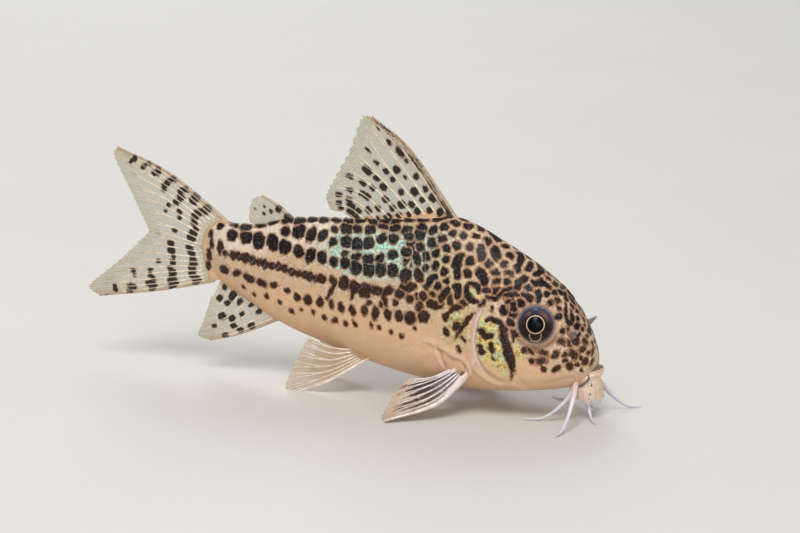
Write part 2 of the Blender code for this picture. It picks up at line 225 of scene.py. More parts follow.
def inside_outline(places, outline):
    """How far inside a closed outline each place is, negative outside."""
    loop = np.asarray(outline, float)
    nearest = np.full(places.shape[:-1], 1e9)
    inside = np.zeros(places.shape[:-1], bool)
    for a, b in zip(loop, np.roll(loop, -1, axis=0)):
        t = np.clip(((places - a) @ (b - a)) / ((b - a) @ (b - a)), 0, 1)
        nearest = np.minimum(nearest, np.linalg.norm(places - a - t[..., None] * (b - a), axis=-1))
        crosses = (a[1] > places[..., 1]) != (b[1] > places[..., 1])
        with np.errstate(divide="ignore", invalid="ignore"):
            cut = a[0] + (places[..., 1] - a[1]) / (b[1] - a[1]) * (b[0] - a[0])
        inside ^= crosses & (places[..., 0] < cut)
    return np.where(inside, nearest, -nearest)


COVER_RISE = 0.16
COVER_LIP = 0.10
SLIT_DEEP = 0.30
SHOULDER_RISE = 0.14
gill_round = along(GILL_COVER + GILL_COVER[:1], np.linspace(0, 1, 49))[:-1]
side_view = np.stack((behind, height), -1)
cover_in = inside_outline(side_view, gill_round)
cover_in = np.where(np.abs(skin[..., 1]) > 2.5, cover_in, -NOWHERE)
gill_middle = np.mean(gill_round, axis=0)
rearward = smooth((behind - gill_middle[0]) - 0.25 * (height - gill_middle[1]), -1.0, 1.2)
relief += COVER_RISE * smooth(cover_in, -0.15, 0.35) * (0.35 + 0.65 * rearward)
relief += COVER_LIP * bell(cover_in - 0.22, 0.16) * rearward
relief -= (0.08 + SLIT_DEEP * rearward) * bell(cover_in + 0.22, 0.20)
relief += SHOULDER_RISE * rearward * bell(cover_in + 0.95, 0.35)

# Sockets: the skin dips to the eyeball and rises in a thin soft rim round it
EYE_PLACE = (6.9, 4.55, 12.3)
EYE_FORWARD = math.radians(15.0)
EYE_UP = math.radians(14.0)
EYE_RADIUS = 2.3
EYE_HALF_DEPTH = 1.7
EYE_SUNK = 0.85
RIM_RADII = (0.0, 1.9, 2.15, 2.3, 2.42, 2.6, 3.6)
RIM_DEPTHS = (-0.7, -0.6, -0.05, 0.36, 0.44, 0.40, 0.55)
RIM_END = 3.6


def eye_frame(side):
    """Centre of an eyeball, and its unit vectors outward, upward and across."""
    level = math.cos(EYE_UP)
    outward = (-level * math.sin(EYE_FORWARD), side * level * math.cos(EYE_FORWARD), math.sin(EYE_UP))
    outward = np.array(outward)
    centre = np.array(EYE_PLACE) * (1, side, 1) - outward * EYE_SUNK
    across = unit(np.cross((0, 0, 1.0), outward))
    return centre, outward, unit(np.cross(outward, across)), across


def seen_from_eye(places, side):
    """Where places lie from an eyeball's middle, how far outward and how far off its axis."""
    centre, outward = eye_frame(side)[:2]
    away = places - centre
    deep = away @ outward
    return away, deep, np.linalg.norm(away - deep[..., None] * outward, axis=-1)


# Low swellings of the head: brow, cheek and snout, a pit at each nostril, and the shoulder
# behind the gill cover, each with its place, half length, half height and rise
SWELLINGS = (
    (6.2, 15.3, 2.6, 0.9, 0.22),
    (4.6, 8.8, 2.0, 1.6, 0.14),
    (10.2, 15.6, 1.2, 1.2, 0.10),
    (2.9, 11.0, 0.55, 0.5, -0.30),
    (3.6, 11.7, 0.4, 0.4, -0.16),
    (15.2, 15.2, 1.0, 1.6, 0.16),
    (15.9, 6.6, 1.3, 1.2, 0.25),
    (17.6, 8.5, 2.0, 2.5, -0.12),
)
for back_by, up_by, long, tall, rise in SWELLINGS:
    off = ((behind - back_by) / long) ** 2 + ((height - up_by) / tall) ** 2
    relief += rise * np.exp(-off) * (np.abs(skin[..., 1]) > 0.8)

# Folds of soft skin: ridges and creases by the throat, the cheek and the pectoral fin, each
# with its height and half width, and its line as (behind, down from the ridge)
FOLDS = (
    (0.16, 0.26, ((14.2, 16.6), (14.4, 17.6), (13.4, 18.2), (11.8, 18.4), (9.6, 17.4), (8.2, 17.6))),
    (-0.12, 0.16, ((9.4, 14.9), (9.1, 15.5), (8.3, 15.9), (7.2, 16.2))),
    (-0.12, 0.14, ((6.4, 14.6), (4.7, 12.5), (3.6, 10.8), (2.3, 8.6))),
    (-0.10, 0.12, ((9.4, 15.6), (7.6, 14.0), (6.4, 13.2))),
    (0.26, 0.24, ((21.0, 16.4), (18.9, 17.1), (17.1, 17.5), (15.5, 17.4), (14.9, 17.9), (14.8, 19.0))),
    (-0.20, 0.22, ((20.6, 17.0), (18.9, 17.6), (17.1, 18.0), (15.8, 17.9), (15.4, 18.4))),
    (-0.16, 0.20, ((19.2, 17.2), (18.7, 18.2), (18.4, 19.3), (17.6, 20.0))),
    (0.14, 0.20, ((19.6, 17.6), (19.2, 18.6), (18.7, 19.6))),
    (-0.12, 0.14, ((18.4, 19.4), (17.1, 18.2), (16.1, 17.9))),
    (-0.10, 0.16, ((24.5, 17.2), (22.4, 17.0), (20.8, 17.8))),
    (-0.10, 0.20, ((15.2, 10.2), (16.0, 13.0), (17.0, 15.6), (18.0, 16.6))),
    (0.12, 0.16, ((17.5, 10.6), (18.2, 12.0), (18.8, 13.1), (19.4, 14.5))),
    (0.10, 0.16, ((13.6, 8.0), (14.2, 7.0), (15.3, 7.1), (16.1, 8.4), (16.1, 9.6), (15.3, 10.5))),
    (-0.10, 0.22, ((12.0, 7.4), (10.9, 6.6), (9.9, 5.4), (9.0, 4.6))),
    (-0.30, 0.30, ((3.1, 3.9), (3.1, 4.3))),
    (0.10, 0.12, ((3.6, 4.3), (3.3, 4.7), (2.9, 4.7), (2.6, 4.3))),
    (0.12, 0.22, ((4.3, 1.9), (3.9, 2.9), (3.3, 3.5), (2.7, 3.0), (3.2, 1.9))),
)
skin_map = np.stack((behind, arc), -1)
# fold_shading: 1 along ridges and -1 along creases; the skin's finish uses it to paint highlights on
# the ridges and shade in the creases
fold_shading = np.zeros(skin.shape[:2])
for rise, wide, line in FOLDS:
    line = along(line, np.linspace(0, 1, 8 * len(line)))
    near = np.full(skin.shape[:2], NOWHERE)
    for a, b in zip(line[:-1], line[1:]):
        t = np.clip(((skin_map - a) @ (b - a)) / ((b - a) @ (b - a)), 0, 1)
        near = np.minimum(near, np.linalg.norm(skin_map - a - t[..., None] * (b - a), axis=-1))
    relief += rise * bell(near, wide)
    fold_shading += np.clip(rise * 5, -1, 1) * bell(near, wide)
skin = skin + skin_out * relief[..., None]

# The tail root is pinched thin from side to side, and the skin is drawn to the eyes' rims
TAIL_PINCH = 0.66
skin[..., 1] *= 1 - TAIL_PINCH * smooth(behind, 50.2, 53.9)
for side, _ in SIDES:
    away, deep, radial = seen_from_eye(skin, side)
    near = (deep > -1.5) & (radial < RIM_END) & (skin[..., 1] * side > 0)
    wanted = np.interp(radial, RIM_RADII, RIM_DEPTHS)
    keep = smooth(radial, 2.55, 3.5)
    moved = np.where(near, (wanted - deep) * (1 - keep), 0.0)
    skin = skin + moved[..., None] * eye_frame(side)[1]

# Marks: the places of the skin are first stirred a little, so that no mark is a clean oval
MARK_SEED = 7
rng = np.random.default_rng(MARK_SEED)
noise.seed_set(MARK_SEED)
base_skin = np.concatenate((left, right), axis=1)
STIRS = ((0.17, 0.80), (0.11, 0.38))
stirred = base_skin.copy()
for place in np.ndindex(base_skin.shape[:2]):
    here = Vector(base_skin[place])
    for amount, size in STIRS:
        stirred[place] += np.array(noise.noise_vector(here / size)) * amount


def lay_ovals(points, ovals, power=2.0, gap=None):
    """Depth inside the nearest of a list of ovals, in millimetres, negative outside."""
    depth = np.full(points.shape[:-1], -NOWHERE)
    second = depth.copy()
    for middle, way, sizes in ovals:
        off = points - middle
        near = np.abs(off).max(axis=-1) < 3 * max(sizes[0], sizes[1])
        far = (np.abs((off[near] @ np.asarray(way).T) / sizes) ** power).sum(-1) ** (1 / power)
        here = (1 - far) * min(sizes[0], sizes[1])
        second[near] = np.maximum(second[near], np.minimum(depth[near], here))
        depth[near] = np.maximum(depth[near], here)
    if gap is not None:
        depth = np.minimum(depth, (depth - second) / 2 - gap)
    return depth


def lay_streaks(points, streaks):
    """Depth inside the nearest of a list of streaks, each a row of places and half widths."""
    depth = np.full(points.shape[:-1], -NOWHERE)
    for places, widths in streaks:
        near = np.abs(points - places.mean(axis=0)).max(axis=-1) < np.ptp(places, axis=0).max() + 2
        for a, b, u, v in zip(places[:-1], places[1:], widths[:-1], widths[1:]):
            off = points[near] - a
            t = np.clip(off @ (b - a) / max((b - a) @ (b - a), 1e-9), 0, 1)
            inside = u + (v - u) * t - np.linalg.norm(off - t[:, None] * (b - a), axis=-1)
            depth[near] = np.maximum(depth[near], inside)
    return depth


def ways_on_skin(back_by, down_by, side, slant):
    """A place on the skin, and the long, the short and the outward way of a mark there."""
    step = 0.1
    down_by = max(down_by, step)
    here = on_skin(back_by, down_by, side)
    aft = unit(on_skin(back_by + step, down_by, side) - on_skin(back_by - step, down_by, side))
    down = unit(on_skin(back_by, down_by + step, side) - on_skin(back_by, down_by - step, side))
    long = aft * math.cos(slant) + down * math.sin(slant)
    out = unit(np.cross(aft, down))
    return here, np.stack((long, np.cross(out, long), out))


# Rows of marks along the flank: how many marks to a plate, their slant in degrees and their
# spread, and the row's line as (behind, down from the ridge, half length, half height)
FLANK_ROWS = (
    (1, 0, 0.12, (
        (23, 0.6, 0.86, 0.54), (36, 0.5, 0.84, 0.56), (49.5, 0.4, 0.80, 0.56), (51.4, 0.7, 0.75, 0.60),
    )),
    (1, -24, 0.16, (
        (22.5, 2.0, 0.80, 0.60), (26.0, 1.9, 0.85, 0.60), (28.2, 1.5, 0.80, 0.55),
        (30.0, 1.8, 0.60, 0.52), (32.4, 1.8, 0.84, 0.60), (34.6, 1.9, 0.66, 0.56),
    )),
    (1, -28, 0.14, (
        (22.4, 3.0, 0.66, 0.58), (26.0, 3.0, 0.78, 0.62), (28.0, 3.2, 0.70, 0.86),
        (30.0, 3.7, 0.84, 0.80), (33.1, 3.5, 0.70, 0.72), (34.8, 3.6, 0.54, 0.64),
        (36.0, 3.0, 0.68, 1.08), (37.7, 2.8, 0.74, 1.08), (39.2, 2.3, 0.62, 0.80),
        (40.8, 2.4, 0.82, 0.80), (43.4, 1.9, 0.68, 0.60),
    )),
    (1, 10, 0.18, (
        (22.0, 4.7, 0.56, 0.50), (23.7, 4.7, 0.66, 0.58), (25.6, 5.4, 0.70, 0.64),
        (29.4, 5.3, 0.80, 0.54), (31.6, 5.1, 0.78, 0.42), (34.2, 4.8, 0.42, 0.38),
    )),
    (1, 10, 0.12, (
        (22.3, 8.1, 0.60, 0.80), (23.9, 7.9, 0.84, 0.88), (25.7, 7.4, 0.78, 0.98),
        (27.5, 7.2, 0.80, 0.94), (29.2, 7.0, 0.82, 0.86), (31.0, 6.5, 0.78, 0.78),
        (32.9, 6.1, 0.70, 0.80), (35.9, 5.6, 0.70, 0.84), (37.4, 5.4, 0.72, 1.00),
        (39.2, 5.0, 0.72, 0.95), (40.7, 4.5, 0.74, 0.88), (42.8, 3.7, 0.80, 0.86),
        (44.7, 2.6, 0.70, 1.14), (46.9, 2.1, 0.90, 0.85), (49.4, 1.7, 0.76, 0.75),
    )),
    (1, 0, 0.08, (
        (19.6, 12.6, 0.60, 0.70), (21.5, 13.4, 0.84, 0.75), (23.7, 13.2, 0.70, 0.84),
        (25.9, 12.7, 0.50, 0.80), (28.0, 12.6, 0.45, 0.84), (30.0, 12.3, 0.40, 0.56),
        (32.7, 12.0, 0.46, 0.72), (34.6, 11.4, 0.36, 0.58), (37.6, 11.1, 0.50, 0.64),
        (39.5, 10.8, 0.50, 0.60), (42.3, 9.2, 0.48, 0.46), (44.2, 8.5, 0.68, 0.50),
        (46.3, 7.5, 0.84, 0.50), (48.9, 6.7, 0.60, 0.45), (51.9, 6.3, 0.80, 0.60),
    )),
    (1, 0, 0.22, (
        (20.0, 14.6, 0.34, 0.30), (24.0, 15.2, 0.30, 0.30), (27.1, 14.6, 0.44, 0.34),
        (29.4, 13.8, 0.24, 0.46), (31.3, 14.3, 0.30, 0.38), (34.4, 13.7, 0.28, 0.42),
        (36.6, 12.8, 0.30, 0.38), (39.6, 12.6, 0.20, 0.24), (42.3, 11.4, 0.30, 0.34),
        (45.4, 9.9, 0.26, 0.32), (48.6, 8.3, 0.26, 0.24),
    )),
    (1, 10, 0.14, (
        (20.8, 10.9, 0.80, 0.76), (23.0, 10.8, 0.60, 0.58), (24.6, 11.4, 0.46, 0.50),
        (29.2, 11.0, 0.46, 0.32),
    )),
    (1, 80, 0.04, ((50.9, 3.7, 0.92, 0.50), (51.9, 3.7, 0.92, 0.50))),
)
STRIPE_ROWS = (
    (2, 20, 0.06, (
        (36.6, 8.2, 0.60, 0.56), (38.0, 8.0, 0.62, 0.60), (40.8, 7.2, 0.66, 0.60),
        (42.9, 6.4, 0.64, 0.58), (44.2, 5.8, 0.62, 0.66), (46.0, 5.1, 0.60, 0.58),
        (47.6, 4.6, 0.62, 0.62), (49.3, 4.3, 0.62, 0.70), (50.6, 4.3, 0.54, 0.62),
    )),
    (1, -14, 0.10, (
        (24.9, 10.2, 0.74, 0.50), (27.3, 9.8, 0.84, 0.50), (28.9, 9.6, 0.88, 0.80),
        (30.8, 9.4, 0.78, 0.76), (32.6, 8.9, 0.80, 0.80), (34.2, 8.4, 0.66, 0.50),
        (36.2, 8.3, 0.60, 0.50),
    )),
)

# Marks that stand out one by one, each a line of (behind, down from the ridge, half width):
# on the gill cover, round the ring behind it, between that ring and the brow, on the
# shoulder, on the plates, at the root of the pectoral fin and round the nostril
STREAKS = (
    (
        (11.0, 10.8, 0.30), (10.6, 11.7, 0.48), (10.2, 12.7, 0.54), (9.8, 13.7, 0.54),
        (9.5, 14.5, 0.40), (9.4, 15.1, 0.16),
    ),
    ((9.5, 15.4, 0.10), (9.7, 16.5, 0.09)),
    (
        (12.9, 10.9, 0.22), (12.4, 10.4, 0.24), (11.7, 10.3, 0.28), (11.1, 10.2, 0.28),
        (10.4, 10.5, 0.24),
    ),
    ((13.5, 12.5, 0.34), (12.9, 12.8, 0.46), (12.3, 12.4, 0.36)),
    ((12.2, 13.5, 0.30), (12.0, 14.0, 0.36)),
    ((13.5, 14.5, 0.32), (13.3, 15.1, 0.38)),
    ((12.0, 14.9, 0.14), (11.7, 15.1, 0.10)),
    ((14.1, 8.2, 0.20), (14.5, 7.8, 0.32), (15.1, 7.7, 0.32), (15.6, 8.1, 0.22), (15.8, 8.8, 0.30)),
    ((15.8, 8.8, 0.30), (15.6, 9.3, 0.38), (15.1, 9.6, 0.40), (14.6, 9.6, 0.30), (14.2, 9.3, 0.16)),
    ((13.5, 7.6, 0.34), (13.0, 7.3, 0.30)),
    (
        (13.2, 8.2, 0.14), (12.5, 8.0, 0.22), (11.9, 7.6, 0.24), (11.6, 6.9, 0.22), (11.1, 6.1, 0.26),
        (10.5, 5.6, 0.24),
    ),
    ((11.2, 7.0, 0.16), (10.6, 6.5, 0.26), (10.0, 5.9, 0.28), (9.4, 5.7, 0.22)),
    ((13.4, 8.8, 0.18), (13.7, 9.3, 0.26), (14.0, 9.9, 0.12)),
    ((12.4, 9.0, 0.18), (12.4, 9.4, 0.16)),
    ((11.0, 8.3, 0.42), (10.9, 8.8, 0.42)),
    ((9.7, 7.5, 0.44), (9.8, 7.2, 0.40)),
    ((10.1, 9.3, 0.32), (9.8, 9.6, 0.30)),
    (
        (14.4, 10.8, 0.08), (14.9, 11.4, 0.20), (15.4, 12.4, 0.28), (15.9, 13.4, 0.24),
        (16.3, 14.3, 0.18), (16.8, 15.3, 0.07),
    ),
    (
        (16.3, 11.2, 0.22), (17.0, 11.6, 0.40), (17.5, 12.1, 0.36), (17.9, 12.7, 0.22),
        (18.2, 13.3, 0.40),
    ),
    ((16.7, 13.6, 0.42), (16.9, 14.1, 0.40)),
    ((18.1, 14.9, 0.38), (18.0, 15.2, 0.38)),
    ((15.9, 14.8, 0.14), (15.4, 14.9, 0.18)),
    ((18.2, 9.7, 0.26), (18.6, 10.5, 0.46), (19.1, 11.3, 0.32)),
    ((16.4, 16.3, 0.22), (16.2, 16.6, 0.22)),
    ((34.1, 8.9, 0.24), (34.5, 9.6, 0.28), (35.2, 10.9, 0.22)),
    ((26.9, 10.4, 0.30), (26.7, 10.9, 0.34), (26.6, 11.5, 0.30)),
    ((31.5, 10.0, 0.24), (31.6, 10.7, 0.20)),
    (
        (4.2, 1.7, 0.14), (3.95, 2.4, 0.22), (3.7, 3.0, 0.24), (3.35, 3.3, 0.28), (3.0, 2.9, 0.28),
        (3.1, 2.3, 0.24), (3.4, 1.7, 0.14),
    ),
    ((3.25, 3.8, 0.14), (3.2, 3.9, 0.12)),
)

# Marks of the snout, the cheek and the chin that stand alone: behind, down from the ridge,
# half length, half height
DOTS = (
    (8.0, 11.5, 0.42, 0.36), (7.1, 12.1, 0.34, 0.28), (7.3, 11.0, 0.46, 0.26), (6.0, 11.1, 0.34, 0.20),
    (5.7, 11.9, 0.38, 0.36), (5.8, 9.9, 0.42, 0.26), (4.4, 8.5, 0.44, 0.58), (4.2, 10.1, 0.38, 0.56),
    (3.3, 7.2, 0.26, 0.28), (3.3, 7.85, 0.22, 0.20), (2.4, 5.8, 0.50, 0.36), (2.75, 7.8, 0.46, 0.38),
    (1.9, 6.05, 0.30, 0.27), (1.6, 4.6, 0.24, 0.26), (1.15, 3.9, 0.34, 0.42), (1.5, 3.3, 0.30, 0.58),
    (1.4, 2.15, 0.36, 0.32), (0.9, 2.1, 0.20, 0.38), (0.6, 2.1, 0.20, 0.34), (0.7, 1.1, 0.18, 0.40),
    (0.9, 0.5, 0.22, 0.30), (1.4, 1.2, 0.24, 0.34), (1.9, 1.6, 0.22, 0.42), (1.9, 0.8, 0.20, 0.32),
    (2.4, 2.3, 0.30, 0.36), (2.2, 3.0, 0.36, 0.50), (2.3, 4.0, 0.38, 0.44), (3.0, 5.4, 0.42, 0.34),
    (3.75, 6.2, 0.38, 0.28), (3.8, 5.0, 0.30, 0.30), (4.5, 4.0, 0.36, 0.44), (4.6, 3.05, 0.32, 0.24),
    (5.05, 2.6, 0.44, 0.36), (5.5, 2.0, 0.34, 0.36), (5.6, 3.5, 0.34, 0.50), (6.2, 3.0, 0.36, 0.40),
    (2.6, 1.5, 0.26, 0.26), (1.5, 5.9, 0.30, 0.26),
)

# The dark bar across the root of the tail fin, shared by the skin and the fin: behind, above
# the floor, half length, half height
ROOT_BAR = (
    (52.9, 18.6, 0.40, 0.62),
    (52.8, 17.4, 0.42, 0.78),
    (53.2, 15.9, 0.44, 0.82),
    (53.4, 14.4, 0.40, 0.62),
)
MARK_REACH = 0.9


def row_marks(rows, side):
    """Ovals for rows of marks, one or more to a plate, that lean as the plates do."""
    ovals = []
    for per_plate, slant, spread, line in rows:
        nodes = np.array(line, float).T
        for number in np.arange(PLATE_COUNT[1] - 1, PLATE_COUNT[-1], 1 / per_plate) + 0.5:
            seat = back_by = np.interp(number, PLATE_COUNT, PLATE_BEHIND)
            for _ in range(5):
                back_by = seat + lean_at(back_by, np.interp(back_by, nodes[0], nodes[1]))
            if not nodes[0][0] - 0.3 < back_by < nodes[0][-1] + 0.3:
                continue
            down_by, long, tall = (np.interp(back_by, nodes[0], nodes[k]) for k in (1, 2, 3))
            size = np.clip(1 + rng.normal(0, 0.12), 0.76, 1.20)
            turn = math.radians(slant + rng.normal(0, 17))
            place = (back_by + rng.normal(0, spread * 0.6), down_by + rng.normal(0, spread))
            middle, way = ways_on_skin(*place, side, turn)
            tall = tall * size * (1 + rng.normal(0, 0.06))
            ovals.append((middle, way, np.array((long * size, tall, MARK_REACH))))
    return ovals


PALE_GAP = 0.07
row_ovals, stripe_ovals, dot_ovals, streak_lines = [], [], [], []
for side, _ in SIDES:
    row_ovals += row_marks(FLANK_ROWS, side)
    stripe_ovals += row_marks(STRIPE_ROWS, side)
    for streak in STREAKS:
        line = along(streak, np.linspace(0, 1, 5 * len(streak)))
        streak_lines.append((on_skin(line[:, 0], line[:, 1], side), line[:, 2]))
    for back_by, down_by, long, tall in DOTS:
        middle, way = ways_on_skin(back_by, down_by, side, rng.normal(0, 0.25))
        dot_ovals.append((middle, way, np.array((long, tall, MARK_REACH))))
root_bar = []
for back_by, up_by, long, tall in ROOT_BAR:
    root_bar.append((np.array((back_by, 0, up_by)), np.eye(3), np.array((long, NOWHERE, tall))))
row_depth = lay_ovals(stirred, row_ovals, 2.0, PALE_GAP) - 0.01
stripe_depth = lay_ovals(stirred, stripe_ovals + root_bar, 2.2) - 0.04
streak_depth = np.maximum(lay_streaks(stirred, streak_lines), stripe_depth)
streak_depth = np.maximum(streak_depth, lay_ovals(stirred, dot_ovals, 2.2, 0.08))

# Marks of the nape, the head and the snout: rounded cells with thin pale lines between
# them, large behind and small in front, that leave out the eye and the gill cover
NAPE_BEHIND = (0.4, 2.0, 6.0, 9.0, 13.0, 15.0, 19.0, 22.0, 25.0)
NAPE_DOWN = (3.5, 8.5, 13.0, 11.5, 9.8, 10.2, 12.0, 12.5, 9.0)
CELL_BEHIND = (0.4, 3.0, 6.0, 10.0, 13.0, 22.0)
CELL_SPACING = (0.85, 0.98, 1.10, 1.30, 1.44, 1.52)
CHEEK_SPACING = 1.34
PALE_LINE = 0.188
MERGED_CELLS = 0.30
CELL_RADIUS = 0.42
CHEEK_LESS = 0.07
RING_PLACE = (14.8, 8.7)
nape_limit = np.interp(behind, NAPE_BEHIND, NAPE_DOWN)
eye_far = np.full(skin.shape[:2], NOWHERE)
for side, _ in SIDES:
    away, deep, radial = seen_from_eye(base_skin, side)
    eye_far = np.minimum(eye_far, np.where(away[..., 1] * side > -1.5, radial, NOWHERE))
loop_far = np.hypot(behind - RING_PLACE[0], arc - RING_PLACE[1])


def spacing_at(places):
    """How far apart the cells lie at places on the skin, and their share of the cheek."""
    cheek = smooth(-places[..., 2], -12.5, -10.5) * (places[..., 0] < 10)
    spacing = np.interp(places[..., 0], CELL_BEHIND, CELL_SPACING)
    return spacing * (1 + (CHEEK_SPACING - 1) * cheek), cheek


open_skin = (arc < nape_limit) & (behind < 24.6) & (eye_far > 2.75) & (cover_in < -0.9)
open_skin &= (row_depth < -0.35) & (streak_depth < -0.30) & (loop_far > 1.5)
snout_line = np.interp(behind, (0, 2.6, 4.2, 5.6, 6.6), (0.3, 1.1, 1.4, 1.6, 2.6))
by_hand = ((behind < 6.6) & (arc > snout_line)) | ((behind < 9.2) & (height < 10.6))
open_skin &= ~by_hand
cell_points = base_skin[open_skin]
cell_spacing = spacing_at(cell_points)[0]
seeds = []
for k in rng.permutation(len(cell_points)):
    here = cell_points[k]
    if not seeds or np.min(np.linalg.norm(np.array(seeds) - here, axis=1)) > 0.80 * cell_spacing[k]:
        seeds.append(here)
seeds = np.array(seeds)


def tree_of(places):
    """The places, sorted so that the nearest ones are found quickly."""
    tree = kdtree.KDTree(len(places))
    for k, here in enumerate(places):
        tree.insert(here, k)
    tree.balance()
    return tree


for _ in range(3):
    tree = tree_of(seeds)
    owner = np.array([tree.find(p)[1] for p in cell_points[::3]])
    total = np.stack([np.bincount(owner, cell_points[::3, k], len(seeds)) for k in range(3)], -1)
    seeds = total / np.maximum(np.bincount(owner, minlength=len(seeds)), 1)[:, None]
    seeds = seeds[np.bincount(owner, minlength=len(seeds)) > 0]
tree = tree_of(seeds)
seed_spacing, seed_cheek = spacing_at(seeds)
seed_group = np.arange(len(seeds))
seed_end = seeds + rng.normal(0, 0.17, seeds.shape) * (1, 0.5, 1.6)
for k in np.nonzero(rng.random(len(seeds)) < MERGED_CELLS)[0]:
    mate = tree.find_n(seeds[k], 2)[1][1]
    if seed_group[mate] == mate and seed_group[k] == k:
        seed_group[k] = mate
        seed_end[k] = seeds[mate]
seed_radius = seed_spacing * (CELL_RADIUS - CHEEK_LESS * seed_cheek)
seed_radius = seed_radius * (1 + rng.normal(0, 0.13, len(seeds)))
near_cells = (arc < nape_limit + 1.2) & (behind < 25.6)
cell_places = stirred[near_cells]
closest = np.array([[found[1] for found in tree.find_n(p, 7)] for p in cell_places])
start, finish_at = seeds[closest], seed_end[closest]
off = cell_places[:, None] - start
way = finish_at - start
t = np.clip((off * way).sum(-1) / np.maximum((way**2).sum(-1), 1e-9), 0, 1)
far = np.linalg.norm(off - t[..., None] * way, axis=-1)
first = np.argmin(far, axis=1)
pick = np.arange(len(far))
own = seed_group[closest[pick, first]]
other = np.where(seed_group[closest] == own[:, None], 99.0, far).min(axis=1)
in_round = seed_radius[closest[pick, first]] - far[pick, first]
in_wall = (other - far[pick, first]) / 2 - PALE_LINE * seed_spacing[closest[pick, first]] / 1.6
cell_depth = np.full(skin.shape[:2], -NOWHERE)
rounding = 0.10 * np.exp(-np.abs(in_round - in_wall) / 0.12)
cell_depth[near_cells] = np.minimum(in_round, in_wall) - rounding

# Where two kinds of mark meet, the weaker one gives way and leaves a thin pale line
clear_rows = np.minimum(row_depth, -streak_depth - 0.26)
clear_cells = np.minimum(cell_depth, -np.maximum(streak_depth, row_depth) - 0.24)
clear_cells = np.minimum(clear_cells, np.minimum(eye_far - 2.56, -cover_in - 0.7))
left_out = (loop_far < 1.25) | (by_hand & (arc > snout_line + 0.5))
clear_cells = np.where(left_out, -NOWHERE, clear_cells)
mark_field = np.maximum(np.maximum(clear_rows, streak_depth), clear_cells)

# Shares of each tint over the skin, and how far each point is from a plate's edge
BELLY_BEHIND = (0, 6, 12, 18, 26, 36, 46, 54)
BELLY_DOWN = (7.5, 11.5, 16.0, 16.5, 13.0, 11.0, 8.0, 7.0)
girth = half_arc[:, -1:]
belly_line = np.interp(behind, BELLY_BEHIND, BELLY_DOWN)
bare = smooth(arc, belly_line - 1.5, belly_line + 2.0)
# under: the underside of the body, which the skin's finish paints darker as shade and keeps free of
# painted glints
under = smooth(arc / girth, 0.72, 0.98)


def patch(back_by, down_by, long, tall):
    """A soft oval patch of a tint, 1 in its middle."""
    return np.exp(-(((behind - back_by) / long) ** 2 + ((arc - down_by) / tall) ** 2))


blue_low = np.interp(behind, (20, 24, 30, 36, 40), (8.6, 8.8, 8.2, 6.6, 6.0))
blue = smooth(arc, 1.4, 3.0) * smooth(blue_low - arc, -0.5, 0.8)
blue = blue * smooth(behind, 17.0, 22.5) * smooth(-behind, -38.5, -33.0)
gold = smooth(cover_in, -0.1, 0.5) * smooth(-arc, -17.0, -15.4) * smooth(arc, 10.0, 10.8)
gold += patch(16.6, 13.4, 1.8, 2.6) + patch(14.5, 8.7, 0.6, 0.6) + patch(9.0, 12.2, 0.9, 1.0)
gold += 0.55 * patch(20.8, 11.2, 2.2, 1.9) + 0.35 * patch(18.5, 7.0, 3.5, 2.5)
gold = np.clip(gold, 0, 1)
slit_band = rearward * smooth(arc, 9.6, 10.6) * smooth(-arc, -18.0, -16.6)
pink = slit_band * bell(cover_in + 0.75, 0.42) + 0.8 * patch(14.6, 17.0, 1.4, 0.9)
pink = np.clip(pink + 0.4 * patch(17, 19.0, 3, 1.6) + 0.35 * patch(3, 12, 3, 3), 0, 1)
socket = bell(eye_far - 2.42, 0.16)
shadow = bell(eye_far - 2.85, 0.36) * smooth(-height, -12.4, -10.2)
shadow += 0.9 * patch(3.1, 4.1, 0.34, 0.42) + 0.6 * patch(6.3, 10.4, 0.8, 0.5)
warm = np.where(behind > 21.0, smooth(below_seam, -2.0, -0.6), smooth(arc, 9.0, 11.5))
warm = np.maximum(warm, smooth(-behind, -10.0, -8.0) * smooth(-height, -11.5, -10.0))
warm = warm * (1 - 0.55 * smooth(cover_in, -0.6, 0.2))
cream = smooth(behind, 30.0, 37.0) * smooth(-arc, -5.5, -3.0)

skin_fields = {
    "mark": mark_field,
    "edge": edge_far,
    "bare": bare,
    "under": under,
    "blue": blue,
    "gold": gold,
    "pink": pink,
    "socket": socket,
    "shadow": shadow,
    "slit": slit_band * bell(cover_in + 0.24, 0.17),
    "warm": warm,
    "fold_shading": np.clip(fold_shading, -1, 1),
    "cream": cream,
}


def piece(name, finish, points, faces, fields, replaces=(), uv=None):
    """A smooth mesh object from points in millimetres, riding with the fish's one body."""
    points = np.asarray(points, float).reshape(-1, 3)
    faces = [tuple(int(k) for k in face) for face in faces]
    sample = [face for face in faces if len(face) > 2]
    corners = points[np.array([face[:3] for face in sample])]
    volume = np.einsum("ij,ij->", corners[:, 0], np.cross(corners[:, 1], corners[:, 2]))
    quads = np.array([face for face in sample if len(face) == 4])
    if len(quads):
        rest = points[quads[:, (0, 2, 3)]]
        volume += np.einsum("ij,ij->", rest[:, 0], np.cross(rest[:, 1], rest[:, 2]))
    if volume > 0:
        faces = [face[::-1] for face in faces]
    mesh = bpy.data.meshes.new(name)
    world = np.stack((SNOUT_AHEAD - points[:, 0], points[:, 1], points[:, 2]), -1) * MM
    mesh.from_pydata(world.tolist(), [], faces)
    for field, values in fields.items():
        layer = mesh.attributes.new(field, "FLOAT", "POINT")
        layer.data.foreach_set("value", np.asarray(values, np.float32).ravel())
    if uv is not None:
        layer = mesh.uv_layers.new(name="OFBake")
        picked = np.array([uv[k] if volume <= 0 else uv[k][::-1] for k in range(len(faces))])
        layer.data.foreach_set("uv", picked.astype(np.float32).ravel())
    mesh.materials.append(finish.material)
    mesh.shade_smooth()
    mesh.update()
    obj = bpy.data.objects.new(name, mesh)
    bpy.context.scene.collection.objects.link(obj)
    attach(obj, "root")
    if replaces:
        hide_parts(*replaces)
    return obj


